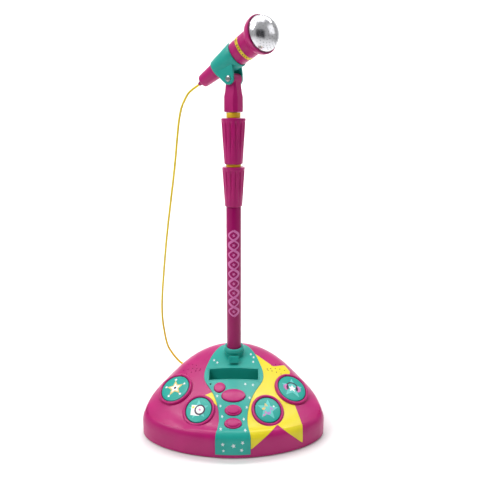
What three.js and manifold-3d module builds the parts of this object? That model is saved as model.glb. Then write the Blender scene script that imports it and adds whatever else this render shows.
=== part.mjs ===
// A toy stand microphone on a sound base, in millimetres, +Z up.
// The origin is on the floor under the middle of the base, and the front is towards -Y.
import * as THREE from "three";
import { mergeVertices } from "three/addons/utils/BufferGeometryUtils.js";
import Module from "manifold-3d";

const wasm = await Module();
wasm.setup();

const GAP = 0.3; // between pieces that touch
const DEG = Math.PI / 180;

// Base plan: two half ellipses that meet at its widest line.
const BASE = {
  halfWidth: 151,
  widestY: -58,
  frontDepth: 62,
  backDepth: 178,
  frontPower: 1.85,
  rimZ: 2,
  topZ: 93,
  frontSlope: 0.34,
  topSoftness: 30,
  crossFall: 0.0012,
  creaseZ: 40,
  creaseInset: 6,
  insetChange: 3,
  shoulderWidth: 57,
  shoulderPower: 2.2,
  wall: 3,
  segments: 36,
};
const POLE_Y = 36;

// Control panel, laid into the top of the base.
const PANEL = { proud: 0.9, depth: 1.2, lowestZ: 7.5 };
const TRAY = { width: 89, depth: 26, y: -10.5, floorZ: 58, wall: 1.6 };

// Buttons and pads: place in plan, half sizes, and how far the cap stands above the skin.
const BUTTONS = [
  { name: "power_button", x: -23.5, y: -37.5, rx: 9.7, ry: 9.7, proud: 3.2 },
  { name: "main_button", x: 0, y: -53, rx: 20, ry: 12, proud: 3.6 },
  { name: "upper_oval_button", x: 0, y: -77, rx: 13.7, ry: 9, proud: 3.2 },
  { name: "lower_oval_button", x: 0, y: -97, rx: 13.7, ry: 9, proud: 3.2 },
];
const PADS = [
  { name: "pad_upper_left", x: -100, y: -28, r: 24.3 },
  { name: "pad_upper_right", x: 100, y: -28, r: 24.3 },
  { name: "pad_lower_left", x: -56, y: -73, r: 21.1 },
  { name: "pad_lower_right", x: 56, y: -73, r: 21.1 },
];
const PAD_RING = { gap: 0.8, width: 4.6, proud: 3, deep: 8.6 };
const LIGHT = { x: -39.5, y: -29.5 };

// Inside and under the base: screw bosses, battery bay, bottom cover, feet and speakers.
const BOSSES = [
  [-105, -62],
  [105, -62],
  [-62, 66],
  [62, 66],
];
const BAY = { width: 64, depth: 58, height: 19, y: 42 };
const COVER = { z0: 2.5, z1: 5, inset: 4 };
const FEET = [
  ["front_left", -85, -85],
  ["front_right", 85, -85],
  ["rear_left", -52, 86],
  ["rear_right", 52, 86],
];
const SPEAKER = { x: 62, y: 20, below: 16 };
const MAIN_BOARD = { width: 150, depth: 44, thick: 1.6, y: -60, z: 14 };
const KEY_BOARD = { width: 50, depth: 78, thick: 1.6, y: -72, below: 21 };

// Stand: a socket with its latch, three telescoping tubes, two twist collars and a swivelling neck.
const SOCKET_R = 16;
const LATCH = { width: 21, thick: 5, height: 22, lean: 24 * DEG, ahead: 28, z: 84.6 };
const LOWER_TUBE = { r: 13, bore: 11.3, z0: 46, z1: 426 };
const MIDDLE_TUBE = { r: 11, bore: 9.35, z0: 215, z1: 506 };
const UPPER_TUBE = { r: 9, bore: 7, z0: 300, z1: 522 };
const LOWER_COLLAR = { z0: 367, z1: 435, r0: 15, r1: 19.5, bore: 13.3, ringR: 12.8 };
const UPPER_COLLAR = { z0: 440, z1: 516.5, r0: 15.7, r1: 20.7, bore: 11.3, ringR: 11.9 };
const FLUTES = 14;
const NECK = { z0: 526, shoulderZ: 556, half: 13.6, tongueThick: 22, tongueWide: 21 };

// Microphone and its clip. The clip turns about a level hinge in the neck's tongue.
const HINGE_Z = 579;
const MIC_HEADING = 57.4 * DEG;
const MIC_RISE = 29.8 * DEG;
const SLEEVE = { x: 2.9, z: 30.3, length: 45, rearR: 16.5, frontR: 21.75, wall: 2.4, mouth: 24 * DEG };
const EAR = { y: 13.4, thick: 3.5, r: 9.5 };
const TAIL_X = SLEEVE.x - SLEEVE.length / 2 - 36;
const BAND = { x0: 39.4, x1: 44.2, r: 20.6 };
const HEAD = { x: 77.4, r: 31, bend: 24 * DEG, roll: -136 * DEG, domeHeight: 23 };

// Cord: its own diameter, and the ring that its coil fills.
const CORD = { d: 4, coilX: -38, coilY: 152, coilR: 22, coilHeight: 12, coilHalfWidth: 4, lowZ: 0.3 };
const GLAND = { x: 16, y: 119, z: 14 };

const COLOURS = {
  magenta: 0xbc357c,
  darkMagenta: 0x9d0761,
  teal: 0x30afa5,
  yellow: 0xe8cc3a,
  silver: 0xc8c8cc,
  gold: 0xdbb92c,
  black: 0x1a1a1c,
  board: 0x1f6b3a,
  steel: 0x9a9ca0,
  cream: 0xd8d2c0,
};

const material = (colour, roughness = 0.35, metalness = 0) =>
  new THREE.MeshStandardMaterial({ color: COLOURS[colour], roughness, metalness });

// ---- solids ----

// The closed solid that a geometry bounds, with its faces turned outwards.
function solid(geometry) {
  const bare = geometry.clone();
  bare.deleteAttribute("normal");
  bare.deleteAttribute("uv");
  const merged = mergeVertices(bare, 1e-4);
  const build = (triVerts) =>
    new wasm.Manifold(
      new wasm.Mesh({ numProp: 3, vertProperties: merged.attributes.position.array, triVerts }),
    );
  const made = build(new Uint32Array(merged.index.array));
  if (made.volume() > 0) return made;
  return build(new Uint32Array(merged.index.array).reverse());
}

function geometryOf(made) {
  const mesh = made.getMesh();
  const points = new Float32Array(mesh.numVert * 3);
  for (let i = 0; i < mesh.numVert; i++) {
    points.set(mesh.vertProperties.subarray(i * mesh.numProp, i * mesh.numProp + 3), i * 3);
  }
  const geometry = new THREE.BufferGeometry();
  geometry.setAttribute("position", new THREE.BufferAttribute(points, 3));
  geometry.setIndex(new THREE.BufferAttribute(new Uint32Array(mesh.triVerts), 1));
  geometry.computeVertexNormals();
  return geometry;
}

const root = new THREE.Group();

function addPiece(name, made, look, parent = root) {
  const piece = new THREE.Mesh(geometryOf(made), look);
  piece.name = name;
  parent.add(piece);
  return piece;
}

// A solid of revolution about +Z from a profile of [radius, z] points.
function turned(profile, segments = 20) {
  const points = profile.map(([r, z]) => new THREE.Vector2(r, z));
  return solid(new THREE.LatheGeometry(points, segments).rotateX(90 * DEG));
}

// The same, about +X.
function turnedX(profile, segments = 20) {
  const points = profile.map(([r, x]) => new THREE.Vector2(r, x));
  return solid(new THREE.LatheGeometry(points, segments).rotateX(90 * DEG).rotateY(90 * DEG));
}

const rod = (r, z0, z1, segments = 20) => turned([[0, z0], [r, z0], [r, z1], [0, z1]], segments);

const pipe = (r, bore, z0, z1, segments = 20) =>
  turned([[bore, z0], [r, z0], [r, z1], [bore, z1], [bore, z0]], segments);

function block(width, depth, height, x = 0, y = 0, z = 0) {
  return solid(new THREE.BoxGeometry(width, depth, height).translate(x, y, z));
}

// A closed solid through rings of points, with a flat fan over each end.
function lofted(rings) {
  const count = rings[0].length;
  const points = rings.flat().flatMap((p) => [p.x, p.y, p.z]);
  const index = [];
  for (let k = 0; k + 1 < rings.length; k++) {
    for (let i = 0; i < count; i++) {
      const a = k * count + i;
      const b = k * count + ((i + 1) % count);
      index.push(a, b, b + count, a, b + count, a + count);
    }
  }
  for (const [k, outward] of [[0, -1], [rings.length - 1, 1]]) {
    const middle = rings[k].reduce((sum, p) => sum.add(p), new THREE.Vector3()).divideScalar(count);
    points.push(middle.x, middle.y, middle.z);
    const hub = points.length / 3 - 1;
    for (let i = 0; i < count; i++) {
      const a = k * count + i;
      const b = k * count + ((i + 1) % count);
      index.push(...(outward > 0 ? [a, b, hub] : [b, a, hub]));
    }
  }
  const geometry = new THREE.BufferGeometry();
  geometry.setAttribute("position", new THREE.Float32BufferAttribute(points, 3));
  geometry.setIndex(index);
  return solid(geometry);
}

// A ring of points at one height: radius is a function of the angle.
function ringAt(z, radius, segments) {
  return Array.from({ length: segments }, (_, i) => {
    const angle = (i / segments) * 2 * Math.PI;
    const r = radius(angle);
    return new THREE.Vector3(r * Math.cos(angle), r * Math.sin(angle), z);
  });
}

function ellipseRod(rx, ry, z0, z1, segments = 20) {
  return rod(1, z0, z1, segments).scale([rx, ry, 1]);
}

const placed = (made, matrix) => made.transform(matrix.elements);

// ---- base surface ----

// How far the base's outline is from the pole in a direction of the plan.
function reach(dx, dy) {
  let near = 0;
  let far = 400;
  for (let i = 0; i < 40; i++) {
    const r = (near + far) / 2;
    const x = Math.abs(dx * r) / BASE.halfWidth;
    const y = POLE_Y + dy * r - BASE.widestY;
    const power = y < 0 ? BASE.frontPower : 2;
    const depth = y < 0 ? BASE.frontDepth : BASE.backDepth;
    const inside = x ** power + (Math.abs(y) / depth) ** power < 1;
    if (inside) near = r;
    else far = r;
  }
  return near;
}

// The crease round the top is further in at the front than at the back.
const creaseInset = (dy) => BASE.creaseInset - BASE.insetChange * dy;

// Height of the top at a distance from the pole: a plane that falls to the front and a little
// to the sides, with a round shoulder along the outline.
function heightAt(dx, dy, r) {
  const x = dx * r;
  const ahead = -dy * r;
  const fall = (ahead + Math.hypot(ahead, BASE.topSoftness)) / 2;
  const plane = BASE.topZ - BASE.frontSlope * fall - BASE.crossFall * x * x;
  const inward = reach(dx, dy) - creaseInset(dy) - r;
  const shoulder = Math.max(0, 1 - inward / BASE.shoulderWidth) ** BASE.shoulderPower;
  return plane - Math.max(0, plane - BASE.creaseZ) * Math.min(1, shoulder);
}

function topHeight(x, y) {
  const r = Math.hypot(x, y - POLE_Y);
  return r < 1e-6 ? heightAt(0, -1, 0) : heightAt(x / r, (y - POLE_Y) / r, r);
}

// The base's outer form, moved outwards by a distance, and open downwards to a height.
function baseForm(offset, lowZ) {
  const top = [0.02, 0.3, 0.55, 0.75, 0.9, 1];
  const directions = Array.from({ length: BASE.segments }, (_, i) => {
    const angle = ((i + 0.5) / BASE.segments) * 2 * Math.PI;
    return [Math.cos(angle), Math.sin(angle)];
  });
  const point = (dx, dy, r, z) => new THREE.Vector3(dx * r, POLE_Y + dy * r, z);
  const rings = top.map((share) =>
    directions.map(([dx, dy]) => {
      const r = share * (reach(dx, dy) - creaseInset(dy));
      return point(dx, dy, r + share * offset, heightAt(dx, dy, r) + offset);
    }),
  );
  const skirt = [
    [0.5, (creaseZ) => creaseZ - 3],
    [0, () => 24],
    [0.15, () => lowZ],
  ];
  for (const [insetShare, height] of skirt) {
    rings.push(
      directions.map(([dx, dy]) => {
        const edge = reach(dx, dy);
        const inset = creaseInset(dy);
        return point(dx, dy, edge - insetShare * inset + offset, height(heightAt(dx, dy, edge - inset)));
      }),
    );
  }
  return lofted(rings.reverse());
}

// A frame on the skin: its origin on the surface and +Z along the surface's normal.
function skinFrame(x, y) {
  const step = 6;
  const slopeX = (topHeight(x + step, y) - topHeight(x - step, y)) / (2 * step);
  const slopeY = (topHeight(x, y + step) - topHeight(x, y - step)) / (2 * step);
  const normal = new THREE.Vector3(-slopeX, -slopeY, 1).normalize();
  const turn = new THREE.Quaternion().setFromUnitVectors(new THREE.Vector3(0, 0, 1), normal);
  return new THREE.Matrix4().compose(
    new THREE.Vector3(x, y, topHeight(x, y)),
    turn,
    new THREE.Vector3(1, 1, 1),
  );
}

// The panel's outline in plan, grown by a margin: wide round the tray, narrow between the pads.
function panelPrism(margin) {
  const side = [
    [0, 66],
    [22, 61],
    [37, 40],
    [48, 10],
    [51.5, -6],
    [49.5, -22],
    [35, -46],
    [26, -68],
    [22.5, -88],
    [24, -104],
    [27, -116],
    [28, -130],
  ].map(([x, y]) => new THREE.Vector2(x + margin, x === 0 ? y + margin : y));
  side[0].x = 0;
  const right = new THREE.SplineCurve(side).getPoints(16);
  const left = right.slice(1).map((p) => new THREE.Vector2(-p.x, p.y));
  const outline = new THREE.Shape([...left.reverse(), ...right]);
  return solid(new THREE.ExtrudeGeometry(outline, { depth: 140, bevelEnabled: false }));
}

const trayPrism = (margin) =>
  block(TRAY.width + 2 * margin, TRAY.depth + 2 * margin, 100, 0, TRAY.y, TRAY.floorZ + 50 - TRAY.wall);

// ---- base ----

function buildBaseShell() {
  let shell = baseForm(0, BASE.rimZ).subtract(baseForm(-BASE.wall, BASE.rimZ - 1));
  const room = baseForm(-BASE.wall + 0.5, BASE.rimZ + 5);
  for (const [x, y] of BOSSES) {
    shell = shell.add(rod(4.5, COVER.z1 + GAP, 90, 8).translate([x, y, 0]).intersect(room));
    shell = shell.subtract(rod(1.5, COVER.z1 - 1, 20, 12).translate([x, y, 0]));
  }
  for (const pad of PADS) {
    const frame = skinFrame(pad.x, pad.y);
    const inner = pad.r + PAD_RING.gap;
    const outer = inner + PAD_RING.width;
    const ring = turned(
      [
        [inner - 1, -PAD_RING.deep],
        [outer, -PAD_RING.deep],
        [outer, PAD_RING.proud - 1.8],
        [outer - 2.2, PAD_RING.proud],
        [inner - 1, PAD_RING.proud],
        [inner - 1, -PAD_RING.deep],
      ],
      20,
    );
    shell = shell.add(placed(ring, frame));
    shell = shell.subtract(placed(rod(inner, -40, 30, 24), frame));
    shell = shell.subtract(placed(rod(pad.r + 1.7, -40, 0.3 - PAD_RING.deep, 24), frame));
  }
  const recess = baseForm(6, BASE.rimZ - 2).subtract(baseForm(-PANEL.depth - GAP, BASE.rimZ - 4));
  const lip = block(200, 400, 200, 0, 0, PANEL.lowestZ + 100 - GAP);
  shell = shell.subtract(recess.intersect(panelPrism(GAP)).intersect(lip));
  shell = shell.subtract(trayPrism(GAP)).subtract(rod(SOCKET_R + GAP, 30, 130).translate([0, POLE_Y, 0]));
  for (const button of BUTTONS) {
    shell = shell.subtract(buttonHole(button));
  }
  shell = shell.subtract(placed(rod(1.8, -9, 9, 8), skinFrame(LIGHT.x, LIGHT.y)));
  const glandHole = rod(4.2, -20, 20, 16).rotate([90, 0, 0]).translate([GLAND.x, GLAND.y, GLAND.z]);
  return shell.subtract(glandHole);
}

function buttonHole({ x, y, rx, ry }) {
  return placed(ellipseRod(rx + 0.5, ry + 0.5, -9, 12, 20), skinFrame(x, y));
}

function buildPanel() {
  const skin = baseForm(PANEL.proud, BASE.rimZ - 1).subtract(baseForm(-PANEL.depth, BASE.rimZ - 3));
  const above = block(200, 400, 200, 0, 0, PANEL.lowestZ + 100);
  let panel = skin.intersect(panelPrism(0)).intersect(above);
  panel = panel.subtract(trayPrism(GAP)).subtract(rod(SOCKET_R + GAP, 30, 130).translate([0, POLE_Y, 0]));
  for (const button of BUTTONS) {
    panel = panel.subtract(buttonHole(button));
  }
  return panel.subtract(placed(rod(1.8, -9, 9, 8), skinFrame(LIGHT.x, LIGHT.y)));
}

function buildTray() {
  const inner = block(
    TRAY.width - 2 * TRAY.wall,
    TRAY.depth - 2 * TRAY.wall,
    100,
    0,
    TRAY.y,
    TRAY.floorZ + 50,
  );
  return trayPrism(0).intersect(baseForm(PANEL.proud, BASE.rimZ)).subtract(inner);
}

function buildLight() {
  const lens = turned([[0, -4], [1.5, -4], [1.5, 1], [1.1, 1.5], [0, 1.7]], 12);
  return placed(lens, skinFrame(LIGHT.x, LIGHT.y));
}

// A cap with a flange under the shell, so that it can't lift out.
function buildButton({ x, y, rx, ry, proud }) {
  const cap = turned(
    [
      [0, -9.5],
      [1, -9.5],
      [1, proud - 1.2],
      [0.94, proud - 0.4],
      [0.8, proud],
      [0, proud + 0.3],
    ],
    20,
  );
  const flange = ellipseRod(rx + 0.9, ry + 0.9, -9.5, -8, 16);
  return placed(cap.scale([rx, ry, 1]).add(flange), skinFrame(x, y));
}

function buildPad({ x, y, r }) {
  const profile = [
    [0, -11.6],
    [r + 0.2, -11.6],
    [r + 1.2, -10.4],
    [r + 1.2, -9],
    [r, -9],
    [r, 1],
    [r - 0.5, 1.9],
    [r - 1.6, 2.3],
    [0, 2.9],
  ];
  return placed(turned(profile, 24), skinFrame(x, y));
}

// A rubber dome under each button or pad, on its tilted board.
function buildDome({ x, y }, low) {
  const dome = turned([[0, low], [4.5, low], [4.2, low + 1.5], [2, low + 3.2], [0, low + 3.4]], 12);
  return placed(dome, skinFrame(x, y));
}

function buildBottomCover() {
  const thick = COVER.z1 - COVER.z0;
  const slab = block(400, 400, thick, 0, 0, COVER.z0 + thick / 2);
  const walls = block(BAY.width + 4, BAY.depth + 4, BAY.height, 0, BAY.y, COVER.z1 + BAY.height / 2 - 1);
  let cover = baseForm(-COVER.inset, COVER.z0 - 3).intersect(slab).add(walls);
  const roomZ = COVER.z1 - 6 + BAY.height / 2;
  cover = cover.subtract(block(BAY.width, BAY.depth, BAY.height + 6, 0, BAY.y, roomZ));
  cover = cover.subtract(block(BAY.width + 4, BAY.depth + 4, 2.6, 0, BAY.y, COVER.z0 + 0.9));
  for (const [x, y] of BOSSES) {
    cover = cover.subtract(rod(1.9, 0, 8, 12).translate([x, y, 0]));
    cover = cover.subtract(rod(3.6, 0, COVER.z0 + 1.2, 12).translate([x, y, 0]));
  }
  return cover;
}

function buildScrew(length) {
  return turned([[0, -length], [1.1, -length], [1.1, 0], [3, 0], [3, 0.9], [2.2, 1.4], [0, 1.5]], 12);
}

function buildBattery() {
  return turnedX(
    [
      [0, -25],
      [6.6, -25],
      [7, -24.4],
      [7, 23.4],
      [6.6, 24],
      [2.6, 24],
      [2.6, 25.4],
      [0, 25.4],
    ],
    20,
  );
}

function buildSpeaker({ x, y, below }, side) {
  const speaker = turned(
    [
      [0, -19],
      [12, -19],
      [12, -12],
      [9, -12],
      [21, -2],
      [25, -2],
      [25, 0],
      [19, 0],
      [5, -7],
      [0, -5],
    ],
    14,
  );
  return placed(speaker.translate([0, 0, -below]), skinFrame(side * x, y));
}

function buildFoot(x, y) {
  const topZ = COVER.z0 - GAP;
  return turned([[0, 0], [8, 0], [9, 1], [9, topZ], [0, topZ]], 20).translate([x, y, 0]);
}

function buildBatteryDoor() {
  const plate = block(BAY.width + 3, BAY.depth + 3, 2, 0, BAY.y, COVER.z0 + 1.1);
  return plate.subtract(rod(1.6, 0, 9, 12).translate([0, BAY.y - 27, 0]));
}

function buildBase() {
  addPiece("base_shell", buildBaseShell(), material("magenta"));
  addPiece("control_panel", buildPanel(), material("teal"));
  addPiece("phone_tray", buildTray(), material("teal"));
  addPiece("status_light", buildLight(), material("black"));
  addPiece("bottom_cover", buildBottomCover(), material("darkMagenta"));
  for (const button of BUTTONS) {
    addPiece(button.name, buildButton(button), material("magenta"));
    addPiece(button.name + "_dome", buildDome(button, -15.5), material("cream", 0.7));
  }
  for (const pad of PADS) {
    addPiece(pad.name, buildPad(pad), material("teal"));
    addPiece(pad.name + "_dome", buildDome(pad, -18.5), material("cream", 0.7));
  }
  BOSSES.forEach(([x, y], i) => {
    const screw = buildScrew(12).rotate([180, 0, 0]).translate([x, y, COVER.z0 + 0.9]);
    addPiece(`case_screw_${i + 1}`, screw, material("steel", 0.3, 1));
  });
  for (const [name, x, y] of FEET) {
    addPiece("foot_" + name, buildFoot(x, y), material("black", 0.8));
  }
  addPiece("battery_door", buildBatteryDoor(), material("darkMagenta"));
  for (const i of [-1, 0, 1]) {
    const battery = buildBattery().translate([0, BAY.y + i * 15.5, COVER.z0 + 10.5]);
    addPiece(`battery_${i + 2}`, i === 0 ? battery.mirror([1, 0, 0]) : battery, material("steel", 0.4, 0.6));
  }
  for (const [side, sign] of [["left", -1], ["right", 1]]) {
    addPiece("speaker_" + side, buildSpeaker(SPEAKER, sign), material("black", 0.6));
  }
  const { width, depth, thick, y, z } = MAIN_BOARD;
  addPiece("circuit_board", block(width, depth, thick, 0, y, z), material("board", 0.6));
  addPiece("key_board", buildKeyBoard(KEY_BOARD), material("board", 0.6));
}

// The board that holds the four button domes, parallel to the panel's slope.
function buildKeyBoard({ width, depth, thick, y, below }) {
  return placed(block(width, depth, thick, 0, 0, -below), skinFrame(0, y));
}

// ---- socket, tubes and collars ----

function buildSocket() {
  const ring = turned(
    [
      [LOWER_TUBE.r + GAP, 44],
      [SOCKET_R, 44],
      [SOCKET_R, 94],
      [18.6, 94],
      [18.6, 101],
      [17.8, 103.4],
      [16, 104.4],
      [LOWER_TUBE.r + GAP, 104.4],
      [LOWER_TUBE.r + GAP, 44],
    ],
    20,
  );
  const notch = block(LATCH.width + 1, 16, 60, 0, -LOWER_TUBE.r - 10.4, 90);
  return ring.subtract(notch).translate([0, POLE_Y, 0]);
}

// A tongue with a round lower edge, leaning out from the socket's front.
function buildLatch() {
  const half = LATCH.width / 2;
  const outline = new THREE.Shape();
  outline.moveTo(-half, LATCH.height);
  outline.lineTo(-half, 7);
  outline.absarc(-half + 7, 7, 7, Math.PI, 1.5 * Math.PI, false);
  outline.lineTo(half - 7, 0);
  outline.absarc(half - 7, 7, 7, -0.5 * Math.PI, 0, false);
  outline.lineTo(half, LATCH.height);
  outline.closePath();
  const plate = new THREE.ExtrudeGeometry(outline, {
    depth: LATCH.thick,
    bevelEnabled: false,
    curveSegments: 6,
  });
  plate.translate(0, 0, -LATCH.thick / 2).rotateX(90 * DEG).rotateX(-LATCH.lean);
  return solid(plate).translate([0, POLE_Y - LATCH.ahead, LATCH.z]);
}

// A cone with round grooves that start just under its top edge and fade towards its foot.
function buildCollar({ z0, z1, r0, r1, bore }) {
  const segments = FLUTES * 4;
  const heights = [0, 0.06, 0.45, 0.86, 0.92, 1];
  const depths = [0, 0.1, 1.0, 1.3, 0, 0];
  const rings = heights.map((share, k) =>
    ringAt(
      z0 + share * (z1 - z0),
      (angle) => {
        const taper = r0 + (r1 - r0) * share;
        const edge = share === 1 || share === 0 ? 1 : 0;
        return taper - edge - depths[k] * Math.max(0, Math.cos(angle * FLUTES)) ** 1.5;
      },
      segments,
    ),
  );
  return lofted(rings).subtract(rod(bore, z0 - 5, z1 + 5, 20));
}

const tubeOf = ({ r, bore, z0, z1 }, segments) => pipe(r, bore, z0, z1, segments);

function buildStand() {
  const pole = new THREE.Group();
  pole.position.y = POLE_Y;
  root.add(pole);
  addPiece("stand_socket", buildSocket(), material("teal"));
  addPiece("socket_latch", buildLatch(), material("teal"));
  const lowerRing = pipe(
    LOWER_COLLAR.ringR,
    MIDDLE_TUBE.r + GAP,
    LOWER_COLLAR.z1 + GAP,
    UPPER_COLLAR.z0 - GAP,
    24,
  );
  const upperRing = pipe(UPPER_COLLAR.ringR, UPPER_TUBE.r + GAP, UPPER_COLLAR.z1 + GAP, NECK.z0 - GAP, 24);
  const lowerCollar = buildCollar(LOWER_COLLAR).subtract(rod(MIDDLE_TUBE.r + GAP, 300, 500));
  addPiece("lower_tube", tubeOf(LOWER_TUBE, 24), material("darkMagenta"), pole);
  addPiece("lower_collar", lowerCollar, material("magenta"), pole);
  addPiece("lower_collar_ring", lowerRing, material("gold"), pole);
  addPiece("middle_tube", tubeOf(MIDDLE_TUBE, 32), material("darkMagenta"), pole);
  addPiece("upper_collar", buildCollar(UPPER_COLLAR), material("magenta"), pole);
  addPiece("upper_collar_ring", upperRing, material("gold"), pole);
  addPiece("upper_tube", tubeOf(UPPER_TUBE, 20), material("darkMagenta"), pole);
  const neck = new THREE.Group();
  neck.position.z = HINGE_Z;
  neck.rotation.z = MIC_HEADING - 90 * DEG;
  pole.add(neck);
  addPiece("neck", buildNeck(), material("magenta"), neck);
}

// An eight-sided block that narrows to a tongue with a round top, on the hinge's own height.
function buildNeck() {
  const lowZ = NECK.z0 - HINGE_Z;
  const shoulderZ = NECK.shoulderZ - HINGE_Z;
  const eight = (halfX, halfY, cut, z) => [
    new THREE.Vector3(halfX, -halfY + cut, z),
    new THREE.Vector3(halfX, halfY - cut, z),
    new THREE.Vector3(halfX - cut, halfY, z),
    new THREE.Vector3(-halfX + cut, halfY, z),
    new THREE.Vector3(-halfX, halfY - cut, z),
    new THREE.Vector3(-halfX, -halfY + cut, z),
    new THREE.Vector3(-halfX + cut, -halfY, z),
    new THREE.Vector3(halfX - cut, -halfY, z),
  ];
  const body = lofted([
    eight(NECK.half - 1, NECK.half - 1, 5, lowZ),
    eight(NECK.half, NECK.half, 5.5, lowZ + 2),
    eight(NECK.half, NECK.half, 5.5, shoulderZ - 5),
    eight(NECK.tongueWide / 2 + 1.2, NECK.tongueThick / 2, 3.5, shoulderZ + 4),
    eight(NECK.tongueWide / 2 - 1.6, NECK.tongueThick / 2, 3, 0),
  ]);
  const halfThick = NECK.tongueThick / 2;
  const round = rod(NECK.tongueWide / 2 - 0.6, -halfThick, halfThick, 20).rotate([90, 0, 0]);
  const stub = rod(UPPER_TUBE.bore - GAP, lowZ - 18, lowZ + 1, 20);
  const hole = rod(2.9, -20, 20, 16).rotate([90, 0, 0]);
  return body.add(round).add(stub).subtract(hole);
}

// ---- clip and microphone, in a frame with the hinge at its origin and +X along the microphone ----

function sleeveRadius(x) {
  const share = (x - SLEEVE.x) / SLEEVE.length + 0.5;
  return SLEEVE.rearR + (SLEEVE.frontR - SLEEVE.rearR) * share;
}

function earOutline() {
  const outline = new THREE.Shape();
  outline.absarc(0, 0, EAR.r, 205 * DEG, 335 * DEG, false);
  outline.lineTo(16, 12);
  outline.lineTo(19, 26);
  outline.lineTo(-17, 26);
  outline.lineTo(-15.5, 16);
  outline.closePath();
  return outline;
}

function buildClip() {
  const x0 = SLEEVE.x - SLEEVE.length / 2;
  const x1 = SLEEVE.x + SLEEVE.length / 2;
  const outer = turnedX(
    [
      [0, x0],
      [SLEEVE.rearR - 0.6, x0],
      [SLEEVE.rearR, x0 + 0.8],
      [SLEEVE.frontR, x1 - 0.8],
      [SLEEVE.frontR - 0.6, x1],
      [0, x1],
    ],
    20,
  );
  const slope = (SLEEVE.frontR - SLEEVE.rearR) / SLEEVE.length;
  const bore = turnedX(
    [
      [0, x0 - 10],
      [SLEEVE.rearR - SLEEVE.wall - 10 * slope, x0 - 10],
      [SLEEVE.frontR - SLEEVE.wall + 10 * slope, x1 + 10],
      [0, x1 + 10],
    ],
    20,
  ).translate([0, 0, SLEEVE.z]);
  let clip = outer.translate([0, 0, SLEEVE.z]);
  for (const side of [-1, 1]) {
    const plate = new THREE.ExtrudeGeometry(earOutline(), {
      depth: EAR.thick,
      bevelEnabled: false,
      curveSegments: 14,
    });
    plate.translate(0, 0, -EAR.thick / 2).rotateX(90 * DEG).translate(0, side * EAR.y, 0);
    clip = clip.add(solid(plate));
  }
  const mouthHalf = Math.sin(SLEEVE.mouth) * SLEEVE.frontR;
  const mouth = block(SLEEVE.length + 20, 2 * mouthHalf, 40, SLEEVE.x, 0, SLEEVE.z + 20);
  const hole = rod(2.9, -20, 20, 16).rotate([90, 0, 0]);
  const headSeat = rod(5.2, EAR.y + EAR.thick / 2 - 1.2, 25, 20).rotate([90, 0, 0]);
  return clip.subtract(bore).subtract(mouth).subtract(hole).subtract(headSeat);
}

// The bolt's head faces the front; a nut holds it at the back.
function buildBolt() {
  const shank = EAR.y + EAR.thick / 2;
  const bolt = turned(
    [
      [0, -shank - 3],
      [2.5, -shank - 3],
      [2.5, shank - 0.9],
      [4.8, shank - 0.9],
      [4.8, shank + 0.4],
      [3.6, shank + 1.3],
      [0, shank + 1.5],
    ],
    20,
  );
  return bolt.rotate([90, 0, 0]);
}

function buildNut() {
  const shank = EAR.y + EAR.thick / 2;
  return pipe(5, 3.3, -shank - 3.2, -shank - GAP, 6).rotate([90, 0, 0]);
}

// The handle's radius along the microphone: the clip's bore less the gap, then a straight front part.
function handleProfile(inset) {
  const x = (share) => SLEEVE.x + (share - 0.5) * SLEEVE.length;
  return [
    [10.4, TAIL_X],
    [11.2, TAIL_X + 1.5],
    [SLEEVE.rearR - SLEEVE.wall - GAP, x(0)],
    [SLEEVE.frontR - SLEEVE.wall - GAP, x(1)],
    [20, x(1) + 5],
    [20, BAND.x0 - GAP],
  ].map(([r, along]) => [r - inset, along]);
}

function buildHandle() {
  const outer = handleProfile(0);
  const inner = handleProfile(2);
  const first = [3.4, TAIL_X];
  const innerStart = [3.4, TAIL_X + 2.5];
  const bore = inner.slice(2).reverse();
  return turnedX([first, ...outer, ...bore, [inner[1][0], TAIL_X + 2.5], innerStart, first], 20);
}

function headMatrix() {
  const axis = new THREE.Vector3(
    Math.cos(HEAD.bend),
    Math.sin(HEAD.bend) * Math.cos(HEAD.roll),
    Math.sin(HEAD.bend) * Math.sin(HEAD.roll),
  );
  const turn = new THREE.Quaternion().setFromUnitVectors(new THREE.Vector3(1, 0, 0), axis);
  return new THREE.Matrix4().compose(new THREE.Vector3(HEAD.x, 0, 0), turn, new THREE.Vector3(1, 1, 1));
}

// A straight neck with a round bowl on its end, turned to one side.
function buildHeadCup() {
  const bowl = turnedX(
    [
      [0, -19.5],
      [14, -19],
      [21.5, -15.5],
      [27, -10.5],
      [30, -4.5],
      [HEAD.r, 1],
      [HEAD.r - 0.8, 3],
      [0, 3],
    ],
    20,
  );
  const hollow = turnedX(
    [
      [0, -17],
      [13, -16.5],
      [19.5, -13.5],
      [25, -8.5],
      [28.7, -3],
      [28.7, 8],
      [0, 8],
    ],
    20,
  );
  const neck = turnedX(
    [
      [0, BAND.x1 + GAP],
      [20.6, BAND.x1 + GAP],
      [21, BAND.x1 + 2],
      [20.4, HEAD.x - 12],
      [0, HEAD.x - 8],
    ],
    20,
  );
  const bore = turnedX([[0, BAND.x1 - 5], [18, BAND.x1 - 5], [18, HEAD.x - 15], [0, HEAD.x - 12]], 32);
  const matrix = headMatrix();
  return neck.add(placed(bowl, matrix)).subtract(bore).subtract(placed(hollow, matrix));
}

function domeProfile(r, height, x0) {
  const points = [];
  for (let i = 0; i <= 6; i++) {
    const angle = (i / 6) * 90 * DEG;
    points.push([r * Math.cos(angle), x0 + height * Math.sin(angle)]);
  }
  points[6][0] = 0;
  return points;
}

function buildGrille() {
  const outer = domeProfile(28.2, HEAD.domeHeight, 3);
  const inner = domeProfile(26.4, HEAD.domeHeight - 1.8, 3).reverse();
  const shell = [[28.2, -1.5], ...outer, ...inner, [26.4, -1.5], [28.2, -1.5]];
  return placed(turnedX(shell, 20), headMatrix());
}

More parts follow.
